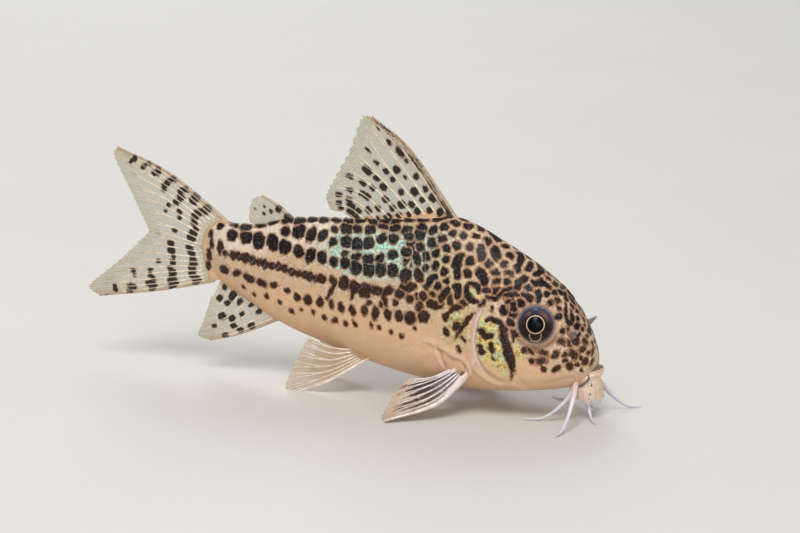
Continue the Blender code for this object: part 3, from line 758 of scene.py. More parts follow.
def linear(code):
    """A colour as mixed on the palette, written as a hex code, in linear light."""
    parts = [int(code[k : k + 2], 16) / 255 for k in (1, 3, 5)]
    return tuple(p / 12.92 if p <= 0.04045 else ((p + 0.055) / 1.055) ** 2.4 for p in parts) + (1.0,)


class Finish:
    """A material being mixed. Each method puts in one step and gives back its result."""

    def __init__(self, name, roughness, **settings):
        self.material = bpy.data.materials.new(name)
        self.material.use_nodes = True
        self.tree = self.material.node_tree
        self.shader = self.tree.nodes["Principled BSDF"]
        self.shader.inputs["Roughness"].default_value = roughness
        for socket, value in settings.items():
            self.shader.inputs[socket.replace("_", " ")].default_value = value
        self.place = self.step("TexCoord").outputs["Object"]

    def step(self, kind, *values, **settings):
        made = self.tree.nodes.new("ShaderNode" + kind)
        for key, value in settings.items():
            setattr(made, key, value)
        for socket, value in zip(made.inputs, values):
            self.feed(socket, value)
        return made

    def feed(self, socket, value):
        if isinstance(value, bpy.types.NodeSocket):
            self.tree.links.new(value, socket)
        elif value is not None:
            socket.default_value = value

    def set(self, socket, value):
        self.feed(self.shader.inputs[socket], value)

    def field(self, name):
        return self.step("Attribute", attribute_name=name).outputs["Fac"]

    def math(self, operation, a, b=None, c=None):
        return self.step("Math", a, b, c, operation=operation).outputs[0]

    def times(self, a, b):
        return self.math("MULTIPLY", a, b)

    def plus(self, a, b):
        return self.math("ADD", a, b)

    def wobble(self, size, detail, amount):
        """Noise that swings evenly to both sides of nought."""
        return self.math("MULTIPLY_ADD", self.noise(size, detail), amount, -amount / 2)

    def ease(self, value, low, high, start=0.0, end=1.0):
        way = "SMOOTHSTEP"
        return self.step("MapRange", value, low, high, start, end, interpolation_type=way).outputs[0]

    def noise(self, size, detail=2.0, roughness=0.5):
        made = self.step("TexNoise")
        self.feed(made.inputs["Vector"], self.place)
        made.inputs["Scale"].default_value = 1 / (size * MM)
        made.inputs["Detail"].default_value = detail
        made.inputs["Roughness"].default_value = roughness
        return made.outputs["Fac"]

    def grains(self, size, result="Distance"):
        made = self.step("TexVoronoi")
        self.feed(made.inputs["Vector"], self.place)
        made.inputs["Scale"].default_value = 1 / (size * MM)
        return made.outputs[result]

    def mix(self, share, a, b):
        made = self.step("Mix", data_type="RGBA")
        self.feed(made.inputs[0], share)
        self.feed(made.inputs[6], linear(a) if isinstance(a, str) else a)
        self.feed(made.inputs[7], linear(b) if isinstance(b, str) else b)
        return made.outputs[2]

    def bump(self, height, depth, strength=1.0, under=None):
        made = self.step("Bump")
        made.inputs["Strength"].default_value = strength
        made.inputs["Distance"].default_value = depth * MM
        self.feed(made.inputs["Height"], height)
        if under:
            self.feed(made.inputs["Normal"], under)
        return made.outputs["Normal"]


WET = {"Coat_Weight": 0.07, "Coat_Roughness": 0.12, "Specular_IOR_Level": 0.12}
skin_finish = Finish("wet_spotted_skin", 0.45, **WET)
f = skin_finish
wobble = f.wobble(0.34, 2, 0.34)
wobble = f.plus(wobble, f.wobble(0.13, 1, 0.18))
depth = f.plus(f.field("mark"), wobble)
spotted = f.ease(depth, -0.10, 0.07)
fringe = f.ease(depth, -0.26, -0.05)
pale = f.times(f.ease(depth, -0.85, -0.20), f.math("SUBTRACT", 1.0, f.field("bare")))
cloud = f.noise(1.8, 4, 0.6)
mottle = f.noise(0.28, 2, 0.6)
flake = f.step("SeparateColor", f.grains(0.19, "Color"))
ground = f.mix(cloud, "#c49c78", "#dcb892")
ground = f.mix(f.ease(mottle, 0.5, 0.75, 0.0, 0.35), ground, "#a97f5c")
pale_net = f.mix(f.ease(mottle, 0.36, 0.64), "#a88c72", "#d8c7b0")
ground = f.mix(f.times(pale, 0.82), ground, pale_net)
ground = f.mix(f.times(f.field("cream"), 0.7), ground, f.mix(mottle, "#c9b29b", "#f6ece0"))
ground = f.mix(f.field("bare"), ground, f.mix(cloud, "#d0a783", "#e3bf9b"))
# Painted shade: the underside darker
ground = f.mix(f.times(f.field("under"), 0.35), ground, "#c4946c")
ground = f.mix(f.times(f.field("pink"), 0.7), ground, f.mix(cloud, "#bd8c78", "#d3aba0"))
ground = f.mix(f.times(f.field("shadow"), 0.75), ground, "#5d4030")
ground = f.mix(f.times(f.field("socket"), 0.6), ground, "#96796a")
# Painted light on the folds: a painted highlight along the ridges and painted shade in the creases
ground = f.mix(f.ease(f.field("fold_shading"), 0.1, 1.0, 0.0, 0.42), ground, "#ebd3c2")
ground = f.mix(f.ease(f.field("fold_shading"), -0.1, -1.0, 0.0, 0.42), ground, "#8f654e")
mint = f.mix(f.ease(f.noise(0.3, 3, 0.65), 0.35, 0.62), "#5a9080", "#c4e8da")
blue_share = f.times(f.field("blue"), f.ease(f.noise(0.5, 2, 0.6), 0.34, 0.50))
ground = f.mix(blue_share, ground, mint)
sparkle = f.ease(f.noise(0.26, 3, 0.7), 0.50, 0.66)
gilt = f.mix(f.ease(f.noise(0.7, 3), 0.42, 0.58), "#a08a3e", "#d6c574")
gilt = f.mix(f.ease(f.noise(0.95, 2), 0.48, 0.58), gilt, f.mix(f.noise(0.4, 2), "#7f9f76", "#b4d3ab"))
gilt = f.mix(sparkle, gilt, "#f6ecaa")
gilt = f.mix(f.ease(f.noise(0.5, 2), 0.55, 0.64, 0.0, 0.75), gilt, "#8d6440")
gold_share = f.times(f.field("gold"), f.ease(f.noise(0.5, 2, 0.6), 0.32, 0.50))
ground = f.mix(gold_share, ground, gilt)
rust = f.mix(f.noise(0.6), "#6b4024", "#a56d44")
ground = f.mix(f.times(fringe, 0.84), ground, rust)
dark = f.mix(f.noise(0.4, 3), "#0c0909", "#221916")
dark = f.mix(f.times(f.field("warm"), 0.72), dark, f.mix(f.noise(0.4, 3), "#21140d", "#4a2f1d"))
teal = f.times(f.field("blue"), f.ease(flake.outputs[0], 0.55, 0.95, 0.0, 0.5))
dark = f.mix(teal, dark, "#24484a")
# Painted wet sheen: grey flecks over the dark marks
dark = f.mix(f.ease(flake.outputs[1], 0.86, 0.96, 0.0, 0.26), dark, "#63606c")
colour = f.mix(spotted, ground, dark)
# Painted highlight: thin pale glints along the plates' rear edges, weaker over the dark marks
edge_glint = f.ease(f.noise(1.1, 2), 0.34, 0.56, 0.22, 0.9)
edge_glint = f.times(edge_glint, f.ease(spotted, 0.0, 1.0, 1.0, 0.35))
edge_glint = f.times(f.ease(f.field("edge"), 0.12, 0.02), edge_glint)
colour = f.mix(edge_glint, colour, "#d6cdcd")
colour = f.mix(f.times(f.field("slit"), 0.85), colour, "#ddd3d6")
glint = f.times(f.ease(f.noise(0.10, 1), 0.69, 0.76), f.math("SUBTRACT", 1.0, f.field("under")))
colour = f.mix(f.times(glint, 0.6), colour, "#f2e9de")
f.set("Base Color", colour)
f.set("Roughness", f.ease(f.noise(0.4, 3), 0.3, 0.7, 0.34, 0.52))
grain = f.bump(f.grains(0.17), 0.035, 0.8)
f.set("Normal", f.bump(f.noise(0.45, 3, 0.6), 0.06, 0.7, grain))

FLESH_NODES = ("head", "trunk", "tail", "gill_cover_left", "gill_cover_right")
around = skin.shape[1]
grid = np.arange(SKIN_ROWS * around).reshape(SKIN_ROWS, around)
quads = []
quad_uv = []
for i in range(SKIN_ROWS - 1):
    u, w = i / (SKIN_ROWS - 1), (i + 1) / (SKIN_ROWS - 1)
    for j in range(around):
        n = (j + 1) % around
        quads.append((grid[i, j], grid[i, n], grid[i + 1, n], grid[i + 1, j]))
        quad_uv.append(((u, j / around), (u, (j + 1) / around), (w, (j + 1) / around), (w, j / around)))
skin_obj = piece("skin", skin_finish, skin, quads, skin_fields, FLESH_NODES, quad_uv)

# Both ends of the skin are closed with one face each
work = bmesh.new()
work.from_mesh(skin_obj.data)
bmesh.ops.holes_fill(work, edges=[e for e in work.edges if e.is_boundary], sides=0)
work.to_mesh(skin_obj.data)
work.free()

# The eyes: glossy balls of clear cornea over a dark iris, coppery at its sides. A bluish
# reflection with pale flecks is painted on the iris's upper part, and a faint blue glint is
# painted in the black pupil. A thin gold ring lies round the pupil, and a fainter curved line
# under it. The balls sit deep in the sockets, held by the soft rim of skin.
EYE_RINGS = 96
EYE_AROUND = 168
PUPIL_RADIUS = 1.02
RING_RADIUS = 1.09
LENS_DROP = 1.36
LENS_RADIUS = 0.72
CORNEA_BULGE = 0.16

GLASSY = {"Coat_Weight": 0.14, "Coat_Roughness": 0.06, "Specular_IOR_Level": 0.04}
eye_finish = Finish("dark_iris", 0.3, **GLASSY)
f = eye_finish
away = f.field("away")
# Painted reflection: the iris is painted bluish toward its top
iris = f.mix(f.field("up"), "#241811", "#2b3242")
iris = f.mix(f.ease(f.noise(0.7, 3), 0.45, 0.62, 0.0, 0.45), iris, "#4a3427")
copper = f.mix(f.noise(0.35, 3), "#5e4038", "#94705f")
iris = f.mix(f.times(f.field("copper"), 0.85), iris, copper)
# Painted reflection: pale bluish flecks near the top of the iris
iris = f.mix(f.times(f.field("pale"), f.ease(f.noise(0.22, 2), 0.42, 0.60)), iris, "#9db0c6")
# Painted reflection: a bluish band round the upper outer iris
blue_top_reflection = f.times(f.ease(away, 1.7, 2.05), f.ease(f.field("up"), 0.0, 1.0, 0.25, 0.75))
iris = f.mix(blue_top_reflection, iris, "#454b60")
iris = f.mix(f.ease(away, 2.07, 2.20, 0.0, 0.7), iris, "#9a939d")
iris = f.mix(f.ease(away, 1.42, 1.18, 0.0, 0.6), iris, "#14100f")
iris = f.mix(f.field("lens"), iris, f.mix(f.noise(0.5, 2), "#1d1817", "#3b3331"))
iris = f.mix(f.field("gilt"), iris, f.mix(f.noise(0.3, 2), "#b98a4c", "#f1d9ae"))
ring = f.ease(away, RING_RADIUS + 0.08, RING_RADIUS + 0.01)
ring = f.times(f.ease(away, PUPIL_RADIUS - 0.03, PUPIL_RADIUS + 0.03), ring)
iris = f.mix(ring, iris, f.mix(f.noise(0.4, 2), "#bf8a5c", "#f4dcbd"))
# Painted reflection: a faint blue glint in the upper pupil
pupil = f.mix(f.field("deep"), "#010102", "#0d2c40")
iris = f.mix(f.ease(away, PUPIL_RADIUS + 0.01, PUPIL_RADIUS - 0.04), iris, pupil)
f.set("Base Color", iris)


def round_faces(grid):
    """Faces of a round body: bands between its rings of points, and a fan at both ends.

    The two end points follow the rings in the body's list of points.
    """
    onward = np.roll(grid, -1, axis=1)
    faces = list(zip(grid[:-1].ravel(), onward[:-1].ravel(), onward[1:].ravel(), grid[1:].ravel()))
    faces += [(grid.size, n, k) for k, n in zip(grid[0], onward[0])]
    return faces + [(grid.size + 1, k, n) for k, n in zip(grid[-1], onward[-1])]


for side, label in SIDES:
    centre, outward, upward, across = eye_frame(side)
    turn = np.linspace(0, math.pi, EYE_RINGS + 2)[1:-1, None]
    roll = np.linspace(0, 2 * math.pi, EYE_AROUND, endpoint=False)[None, :]
    away = EYE_RADIUS * np.sin(turn) + 0 * roll
    front = EYE_HALF_DEPTH * np.cos(turn)
    bulge = CORNEA_BULGE * smooth(-away, -1.6, -0.2)
    front = front + np.where(turn < math.pi / 2, bulge, 0.0)
    flat = np.cos(roll)[..., None] * across + np.sin(roll)[..., None] * upward
    ball = centre + front[..., None] * outward + away[..., None] * flat
    ends = centre + np.array((EYE_HALF_DEPTH + CORNEA_BULGE, -EYE_HALF_DEPTH))[:, None] * outward
    points = np.concatenate((ball.reshape(-1, 3), ends))
    faces = round_faces(np.arange(away.size).reshape(away.shape))
    ahead, up = away * np.cos(roll) * side, away * np.sin(roll)
    lens_far = np.hypot(ahead, up + LENS_DROP)
    bearing = np.degrees(np.arctan2(up, ahead))
    glow = np.maximum(bell(bearing - 48, 26), 0.8 * bell(bearing - 124, 13))
    line = bell(lens_far - LENS_RADIUS, 0.06) * smooth(-up, 0.9, 1.2)
    # Of these, up, pale and deep carry painted reflections: the bluish top of the iris, pale flecks
    # near its top, and a blue glint in the pupil
    marks = {
        "up": smooth(up, -0.6, 1.6),
        "gilt": line * (0.65 + 0.35 * smooth(-up, 1.7, 2.0)),
        "lens": smooth(-lens_far, -LENS_RADIUS, -LENS_RADIUS + 0.08) * 0.9,
        "copper": glow * bell(away - 1.60, 0.26),
        "pale": np.exp(-((ahead + 0.2) / 0.42) ** 2 - ((up - 1.95) / 0.16) ** 2),
        "deep": np.exp(-((ahead / 0.28) ** 2) - ((up - 0.42) / 0.34) ** 2),
        "away": away,
    }
    fields = {name: np.append(values.ravel(), (0, 0)) for name, values in marks.items()}
    piece("eye_" + label, eye_finish, points, faces, fields, ("eye_" + label,))


# Dorsal fin: a stiff spine and nine branched bony rays carry a thin clear web, with rows of
# dark spots. The rays and the web are two pieces, and both grow out of the skin.
def bowed(first, middle, last, out):
    """Points of the smooth curve through three points, for shares from 0 to 1."""
    out = np.asarray(out, float)[..., None]
    late = out > 0.5
    t = np.where(late, 2 * out - 1, 2 * out)
    a = np.where(late, first, 2 * first - middle)
    b = np.where(late, middle, first)
    c = np.where(late, last, middle)
    d = np.where(late, 2 * last - middle, last)
    bend = (3 * b - a - 3 * c + d) * t**3
    return 0.5 * (2 * b + (c - a) * t + (2 * a - 5 * b + 4 * c - d) * t * t + bend)


def fin_place(outline, side, across, out):
    """Places on a fin, from its front edge to its rear one and from its root to its tip."""
    roots, middles, tips = outline
    across, out = np.broadcast_arrays(across, out)
    place = bowed(along(roots, across), along(middles, across), along(tips, across), out)
    return place * (1, side, 1)


def tube(path, radii, way_out, sides=6):
    """A tube of the given radii along a path, with a pointed cap at both ends."""
    path, radii = np.asarray(path, float), np.asarray(radii, float)
    ahead = unit(np.gradient(path, axis=0))
    first = unit(np.cross(ahead, np.broadcast_to(way_out, path.shape)))
    second = np.cross(first, ahead)
    turn = np.linspace(0, 2 * math.pi, sides, endpoint=False)
    ring = np.cos(turn)[None, :, None] * first[:, None] + np.sin(turn)[None, :, None] * second[:, None]
    points = path[:, None] + ring * radii[:, None, None]
    ends = (path[0] - ahead[0] * radii[0] * 0.6, path[-1] + ahead[-1] * radii[-1] * 0.9)
    faces = round_faces(np.arange(len(path) * sides).reshape(-1, sides))
    return np.concatenate((points.reshape(-1, 3), ends)), faces


def shell_faces(grid):
    """Faces of a thin shell, the points of whose second side follow those of its first."""
    corners = (grid[:-1, :-1], grid[1:, :-1], grid[1:, 1:], grid[:-1, 1:])
    flat = list(zip(*(corner.ravel() for corner in corners)))
    border = np.concatenate((grid[0, :-1], grid[:-1, -1], grid[-1, :0:-1], grid[:0:-1, 0]))
    faces = flat + [tuple(k + grid.size for k in face[::-1]) for face in flat]
    return faces + [(a, b, b + grid.size, a + grid.size) for a, b in zip(border, np.roll(border, -1))]


def joined(made):
    """One list of points and faces out of several."""
    points, faces, start = [], [], 0
    for more, more_faces in made:
        points.append(more)
        faces += [tuple(k + start for k in face) for face in more_faces]
        start += len(more)
    return np.concatenate(points), faces


LINE_SHARES = np.linspace(0, 1, 80)
SPOT_REACH = 1.5


def fin_spots(outline, side, cells, rows, lean, clear_from, loose=1.0):
    """Ovals for rows of spots, laid cell by cell at set distances from the fin's root."""
    ovals = []
    for across in cells:
        line = fin_place(outline, side, across, LINE_SHARES)
        run = np.concatenate(([0], np.cumsum(np.linalg.norm(np.diff(line, axis=0), axis=1))))
        clear = clear_from[0] + (clear_from[1] - clear_from[0]) * across
        for reach, long, wide, chance in rows:
            reach = reach * (1 + lean * (across - 0.5)) + rng.normal(0, 0.16) * loose
            shift = np.clip(across + rng.normal(0, 0.008) * loose, 0, 0.985)
            drawn, size = rng.random(), np.clip(1 + rng.normal(0, 0.14) * loose, 0.6, 1.4)
            if drawn > chance or reach > clear * run[-1]:
                continue
            out = np.interp(reach, run, LINE_SHARES)
            here = fin_place(outline, side, shift, out)
            ahead = unit(fin_place(outline, side, shift, out + 0.01) - here)
            over = unit(np.cross(ahead, fin_place(outline, side, shift + 0.01, out) - here))
            way = np.stack((ahead, np.cross(over, ahead), over))
            ovals.append((here, way, np.array((long * size, wide * size, SPOT_REACH))))
    return ovals


FIN_DEEP = -0.07
WEB_HALF = 0.04
RAY_STEPS = 30
FIN_STIRS = ((0.13, 0.7), (0.10, 0.3))
# A ray's stretches: where each starts and ends, its thickness, its forks and their twigs
UNBRANCHED = ((0.0, 1.0, 1.0, (0,), (0,)),)
BRANCHES = (
    (0.0, 0.44, 1.0, (0,), (0,)),
    (0.34, 0.74, 0.86, (-1, 1), (0,)),
    (0.62, 1.0, 0.74, (-1, 1), (-1, 1)),
)


def fin(label, side, outline, rays, spots, finishes, root, rod, front, steps, notch=0.02, bonded=()):
    """Builds a fin's web and its branched rays, and hides the plain fin of the same name.

    root is the web's half thickness at its root and how far that reaches, rod and front are
    the radii of the rays and of the front ray at root and tip. A bonded edge isn't free.
    """
    across = np.linspace(0, 1, steps + 1)[:, None]
    out = np.linspace(FIN_DEEP, 1, steps + 1)[None, :]
    splay = 0.25 / max(len(rays) - 1, 1)
    teeth = np.abs(np.sin(np.pi * across * (len(rays) - 1) * 2))
    reach = np.where(out > 0, out * (1 - notch * teeth), out)
    sheet = fin_place(outline, side, across, reach)
    over = normals_of(sheet, False)
    step_long = np.linalg.norm(np.diff(sheet, axis=1), axis=-1)
    run = np.concatenate((np.zeros((steps + 1, 1)), np.cumsum(step_long, axis=1)), axis=1)
    run = run - run[:, [int(round(steps * FIN_DEEP / (FIN_DEEP - 1)))]]
    half = WEB_HALF + (root[0] - WEB_HALF) * (1 - smooth(run, 0.1, root[1])) ** 1.6
    half = half * (0.35 + 0.65 * smooth(run, -1.0, 0.1))
    edges = [NOWHERE + 0 * across]
    edges += [edge for n, edge in enumerate((across, 1 - across)) if n not in bonded]
    half = half * (smooth(np.minimum.reduce(edges), 0, 0.02) * 0.6 + 0.4)
    sheets = [sheet + over * half[..., None], sheet - over * half[..., None]]
    web_points = np.concatenate([side_sheet.reshape(-1, 3) for side_sheet in sheets])
    faces = shell_faces(np.arange((steps + 1) ** 2).reshape(steps + 1, steps + 1))
    places = [Vector(p) for p in sheet.reshape(-1, 3)]
    stir = 0
    for amount, size in FIN_STIRS:
        stir = stir + np.array([noise.noise_vector(p / size) for p in places]) * amount
    spot_depth = lay_ovals(sheet + stir.reshape(sheet.shape), spots, 2.5)
    fields = {
        "mark": spot_depth,
        "out": reach + 0 * across,
        "run": run,
        "rim": (1 - across if 0 in bonded else across) + 0 * out,
        "comb": across * (len(rays) - 1) * 8 + 0 * out,
    }
    fields = {name: np.tile(values.ravel(), 2) for name, values in fields.items()}
    web, bone = finishes
    piece(label + "_web", web, web_points, faces, fields, (label,))

    made, front_field = [], []
    for number, at in enumerate(rays):
        thick, thin = front if number == 0 else rod
        sides = 8 if number == 0 else 6
        for first, last, slim, forks, twigs in UNBRANCHED if number == 0 else BRANCHES:
            for fork, twig in [(a, b) for a in forks for b in twigs]:
                t = np.linspace(first if first else FIN_DEEP, last, int(RAY_STEPS * (last - first)) + 2)
                where = at + splay * (fork * smooth(t, 0.35, 1.1) + 0.45 * twig * smooth(t, 0.62, 1.1))
                where = np.clip(where, 0, 1)
                line = fin_place(outline, side, where, np.where(t > 0, t * (1 - notch * 0.25), t))
                beside = fin_place(outline, side, where + 0.01, t) - line
                flatways = unit(np.cross(np.gradient(line, axis=0), beside))
                radii = (thick + (thin - thick) * smooth(t, 0, 1) ** 0.7) * slim
                made.append(tube(line, radii, flatways, sides))
                front_field.append(np.full(len(made[-1][0]), 1.0 if number == 0 else 0.0))
    points, faces = joined(made)
    ray_fields = {"front": np.concatenate(front_field), "mark": lay_ovals(points, spots, 2.8)}
    piece(label + "_rays", bone, points, faces, ray_fields)


DARK_SPOT = "#120e0c"
TAN_FLESH = ("#b98f6a", "#dcb892")


def web_finish(name, tints, covers, flesh_run=0.5, spot=DARK_SPOT, edging=0.0, flesh=TAN_FLESH):
    """A fin's web: clear skin with fine stripes, dark spots and a fleshy root.

    The covers are how much of what lies behind it the web hides, at its root and its tip.
    """
    f = Finish(name, 0.38, Coat_Weight=0.12, Coat_Roughness=0.2, Specular_IOR_Level=0.3)
    wobble = f.wobble(0.24, 2, 0.34)
    depth = f.plus(f.field("mark"), wobble)
    spotted = f.ease(depth, -0.06, 0.05)
    fringe = f.ease(depth, -0.20, -0.02)
    stripe = f.math("SINE", f.times(f.field("comb"), 2 * math.pi))
    striped = f.times(f.ease(stripe, 0.2, 0.9), f.ease(f.field("out"), 0.25, 0.7, 0.2, 0.75))
    web = f.mix(f.noise(1.5, 3), *tints)
    web = f.mix(striped, web, "#e2d8c4")
    border = f.ease(f.field("rim"), 0.16, 0.02, 0.0, edging)
    web = f.mix(border, web, f.mix(f.noise(0.7, 3), "#a5825f", "#dcbd95"))
    root = f.ease(f.plus(f.field("run"), f.noise(1.0, 2)), flesh_run + 1.0, flesh_run + 0.2)
    web = f.mix(root, web, f.mix(f.noise(1.8, 4, 0.6), *flesh))
    web = f.mix(f.times(fringe, 0.7), web, "#7a5436")
    f.set("Base Color", f.mix(spotted, web, f.mix(f.noise(0.5, 3), spot, "#33231a")))
    cover = f.ease(f.field("out"), 0.1, 0.95, *covers)
    cover = f.plus(cover, f.times(f.plus(striped, border), 0.14))
    cover = f.math("MAXIMUM", cover, f.times(f.math("MAXIMUM", spotted, root), 0.97))
    cover = f.math("MAXIMUM", cover, f.times(fringe, 0.65))
    f.set("Alpha", f.math("MINIMUM", cover, 1.0))
    f.set("Normal", f.bump(f.noise(0.25, 2), 0.03, 0.5))
    return f


def ray_finish(name, pale, rosy, dark_share, front_share=0.9, front_tan=0.75):
    """Bony rays: pale and jointed, and dark where a row of spots crosses them."""
    f = Finish(name, 0.35, Coat_Weight=0.3, Coat_Roughness=0.15)
    bone = f.mix(f.ease(f.noise(0.7, 2), 0.3, 0.7), pale, rosy)
    tan = f.mix(f.noise(0.9, 3), "#7d614b", "#c3a683")
    bone = f.mix(f.times(f.field("front"), front_tan), bone, tan)
    spotted = f.ease(f.plus(f.field("mark"), f.wobble(0.3, 2, 0.3)), -0.08, 0.08)
    share = f.times(spotted, f.ease(f.field("front"), 0.0, 1.0, dark_share, front_share))
    f.set("Base Color", f.mix(share, bone, f.mix(f.noise(0.5, 2), "#2a1a12", "#5a3d28")))
    f.set("Normal", f.bump(f.noise(0.18, 1), 0.02, 0.6))
    return f


# A fin's outline: its root, its middle and its outer edge, each from front to rear
DORSAL = (
    ((18.9, 0, 23.2), (25.0, 0, 22.2), (31.6, 0, 21.3)),
    ((25.2, 0, 31.7), (28.5, 0, 28.5), (31.8, 0, 25.5), (34.0, 0, 22.9)),
    (
        (30.4, 0, 35.7), (31.9, 0, 35.5), (33.6, 0, 31.1),
        (35.7, 0, 27.3), (36.8, 0, 25.0), (36.2, 0, 23.3),
    ),
)
DORSAL_RAYS = (0.0, 0.055, 0.16, 0.28, 0.40, 0.52, 0.65, 0.78, 0.90, 0.985)
# Rows of spots: each row's distance from the root, half length, half width and the share of
# cells between two rays that have one
DORSAL_SPOTS = (
    (0.45, 0.30, 0.46, 0.9),
    (1.7, 0.42, 0.40, 0.95),
    (3.3, 0.46, 0.42, 0.95),
    (4.9, 0.50, 0.42, 0.95),
    (6.5, 0.46, 0.38, 0.95),
    (8.1, 0.46, 0.34, 0.9),
    (9.8, 0.62, 0.38, 0.9),
    (11.5, 0.46, 0.24, 0.8),
    (13.2, 0.40, 0.18, 0.7),
)
DORSAL_CELLS = (0.10, 0.21, 0.32, 0.43, 0.545, 0.66, 0.77, 0.87, 0.955)
SPINE_STREAKS = (
    (0.6, 0.60, 0.26, 1),
    (2.6, 1.00, 0.17, 1),
    (5.4, 1.30, 0.15, 1),
    (8.6, 1.30, 0.13, 1),
    (11.8, 1.30, 0.11, 1),
    (14.6, 1.00, 0.10, 1),
)
dorsal_web = web_finish("dorsal_web", ("#96957a", "#aaa78b"), (0.34, 0.44), 1.9, edging=0.8)
pale_rays = ray_finish("pale_rays", "#f3e8d2", "#d8bf9f", 0.5)
spots = fin_spots(DORSAL, 1, DORSAL_CELLS, DORSAL_SPOTS, -0.25, (0.90, 0.84), 1.15)
spots += fin_spots(DORSAL, 1, (0.0, 0.045), SPINE_STREAKS, 0, (1, 1), 1.5)
sizes = ((0.85, 2.0), (0.15, 0.06), (0.36, 0.12), 120, 0.03)
fin("dorsal_fin", 1, DORSAL, DORSAL_RAYS, spots, (dorsal_web, pale_rays), *sizes)

# Adipose fin: a short banded spine and three weak rays hold up a small clear web with a few
# specks. It grows out of the ridge of the back, well behind the dorsal fin.
ADIPOSE = (
    ((41.0, 0, 21.2), (46.4, 0, 19.5)),
    ((43.6, 0, 23.3), (46.9, 0, 20.4)),
    ((45.7, 0, 24.3), (47.1, 0, 23.7), (47.6, 0, 21.6), (47.5, 0, 20.6)),
)
spots = fin_spots(ADIPOSE, 1, (0.0, 0.06), ((1.0, 0.50, 0.5, 1), (2.9, 0.40, 0.5, 1)), 0, (0.9, 0.9))
spots += fin_spots(ADIPOSE, 1, (0.30, 0.5), ((2.3, 0.22, 0.2, 1), (3.6, 0.16, 0.16, 1)), 0, (0.95, 0.9))
adipose_web = web_finish("adipose_web", ("#a8a288", "#b8b096"), (0.46, 0.42), 0.6)
rays = (0.0, 0.3, 0.55, 0.8)
sizes = ((0.60, 1.4), (0.07, 0.04), (0.32, 0.14), 60, 0.015)
fin("adipose_fin", 1, ADIPOSE, rays, spots, (adipose_web, pale_rays), *sizes)

# Caudal fin: two lobes of nine branched rays each behind a stiff edge ray. They share a
# clear web, have a dark bar over the root, and bands of spots that fade out toward the
# margin. The tail root carries them in a shallow curve.
CAUDAL_UPPER = (
    ((50.6, 0, 20.3), (52.8, 0, 18.8), (53.4, 0, 16.58)),
    ((59.0, 0, 26.2), (60.0, 0, 22.8), (58.0, 0, 17.42)),
    ((66.6, 0, 29.2), (67.2, 0, 28.0), (65.2, 0, 24.1), (63.4, 0, 20.6), (62.2, 0, 18.25)),
)
CAUDAL_LOWER = (
    ((53.4, 0, 16.56), (53.0, 0, 14.3), (52.4, 0, 12.5)),
    ((58.0, 0, 17.40), (60.4, 0, 13.6), (61.2, 0, 10.3)),
    (
        (62.2, 0, 18.23), (64.3, 0, 16.2), (67.0, 0, 13.7),
        (70.4, 0, 11.0), (71.6, 0, 9.6), (70.0, 0, 8.7),
    ),
)
# The cells between the rays, part by part of a lobe, and the rows of spots in them
UPPER_SPOTS = (
    ((0.03, 0.10, 0.17), (
        (3.2, 0.56, 0.50, 1), (5.4, 0.52, 0.46, 1), (7.1, 0.40, 0.40, 0.9), (9.4, 0.46, 0.42, 1),
        (11.8, 0.38, 0.44, 1), (13.4, 0.30, 0.38, 1), (15.2, 0.28, 0.34, 0.9),
    )),
    ((0.26, 0.35, 0.45), (
        (3.3, 0.52, 0.44, 1), (6.4, 0.48, 0.42, 1), (9.2, 0.40, 0.36, 0.9), (11.8, 0.30, 0.24, 0.5),
    )),
    ((0.56, 0.67, 0.78, 0.90), ((2.7, 0.50, 0.44, 1), (5.2, 0.44, 0.40, 0.9), (7.0, 0.34, 0.30, 0.4))),
)
LOWER_SPOTS = (
    ((0.97, 0.90, 0.83), (
        (3.1, 0.56, 0.50, 1), (6.6, 0.64, 0.50, 1), (9.8, 0.62, 0.46, 1), (12.8, 0.54, 0.40, 1),
        (15.3, 0.30, 0.34, 0.8),
    )),
    ((0.74, 0.64, 0.54), (
        (3.1, 0.54, 0.46, 1), (6.3, 0.52, 0.44, 1), (9.3, 0.44, 0.38, 0.9), (11.9, 0.36, 0.30, 0.6),
    )),
    ((0.42, 0.31, 0.20, 0.09), ((2.8, 0.50, 0.44, 1), (5.8, 0.44, 0.40, 0.9), (7.9, 0.32, 0.28, 0.4))),
)
UPPER_RAYS = (0.0, 0.05, 0.14, 0.25, 0.37, 0.49, 0.61, 0.73, 0.86, 0.97)
LOWER_RAYS = tuple(1 - ray for ray in UPPER_RAYS)
# For each lobe: its outline, rays and spots, where its spots end, and its bonded edge
LOBES = (
    ("upper", CAUDAL_UPPER, UPPER_RAYS, UPPER_SPOTS, (0.97, 0.60), (1,)),
    ("lower", CAUDAL_LOWER, LOWER_RAYS, LOWER_SPOTS, (0.58, 0.97), (0,)),
)
caudal_web = web_finish("caudal_web", ("#97937a", "#aca68c"), (0.30, 0.40), 0.9, edging=0.85)
sizes = ((0.34, 2.8), (0.145, 0.055), (0.28, 0.11), 120, 0.02)
for name, outline, rays, zones, clear_from, bonded in LOBES:
    spots = list(root_bar)
    for cells, rows in zones:
        spots += fin_spots(outline, 1, cells, rows, 0, clear_from, 0.9)
    fin("caudal_lobe_" + name, 1, outline, rays, spots, (caudal_web, pale_rays), *sizes, bonded)

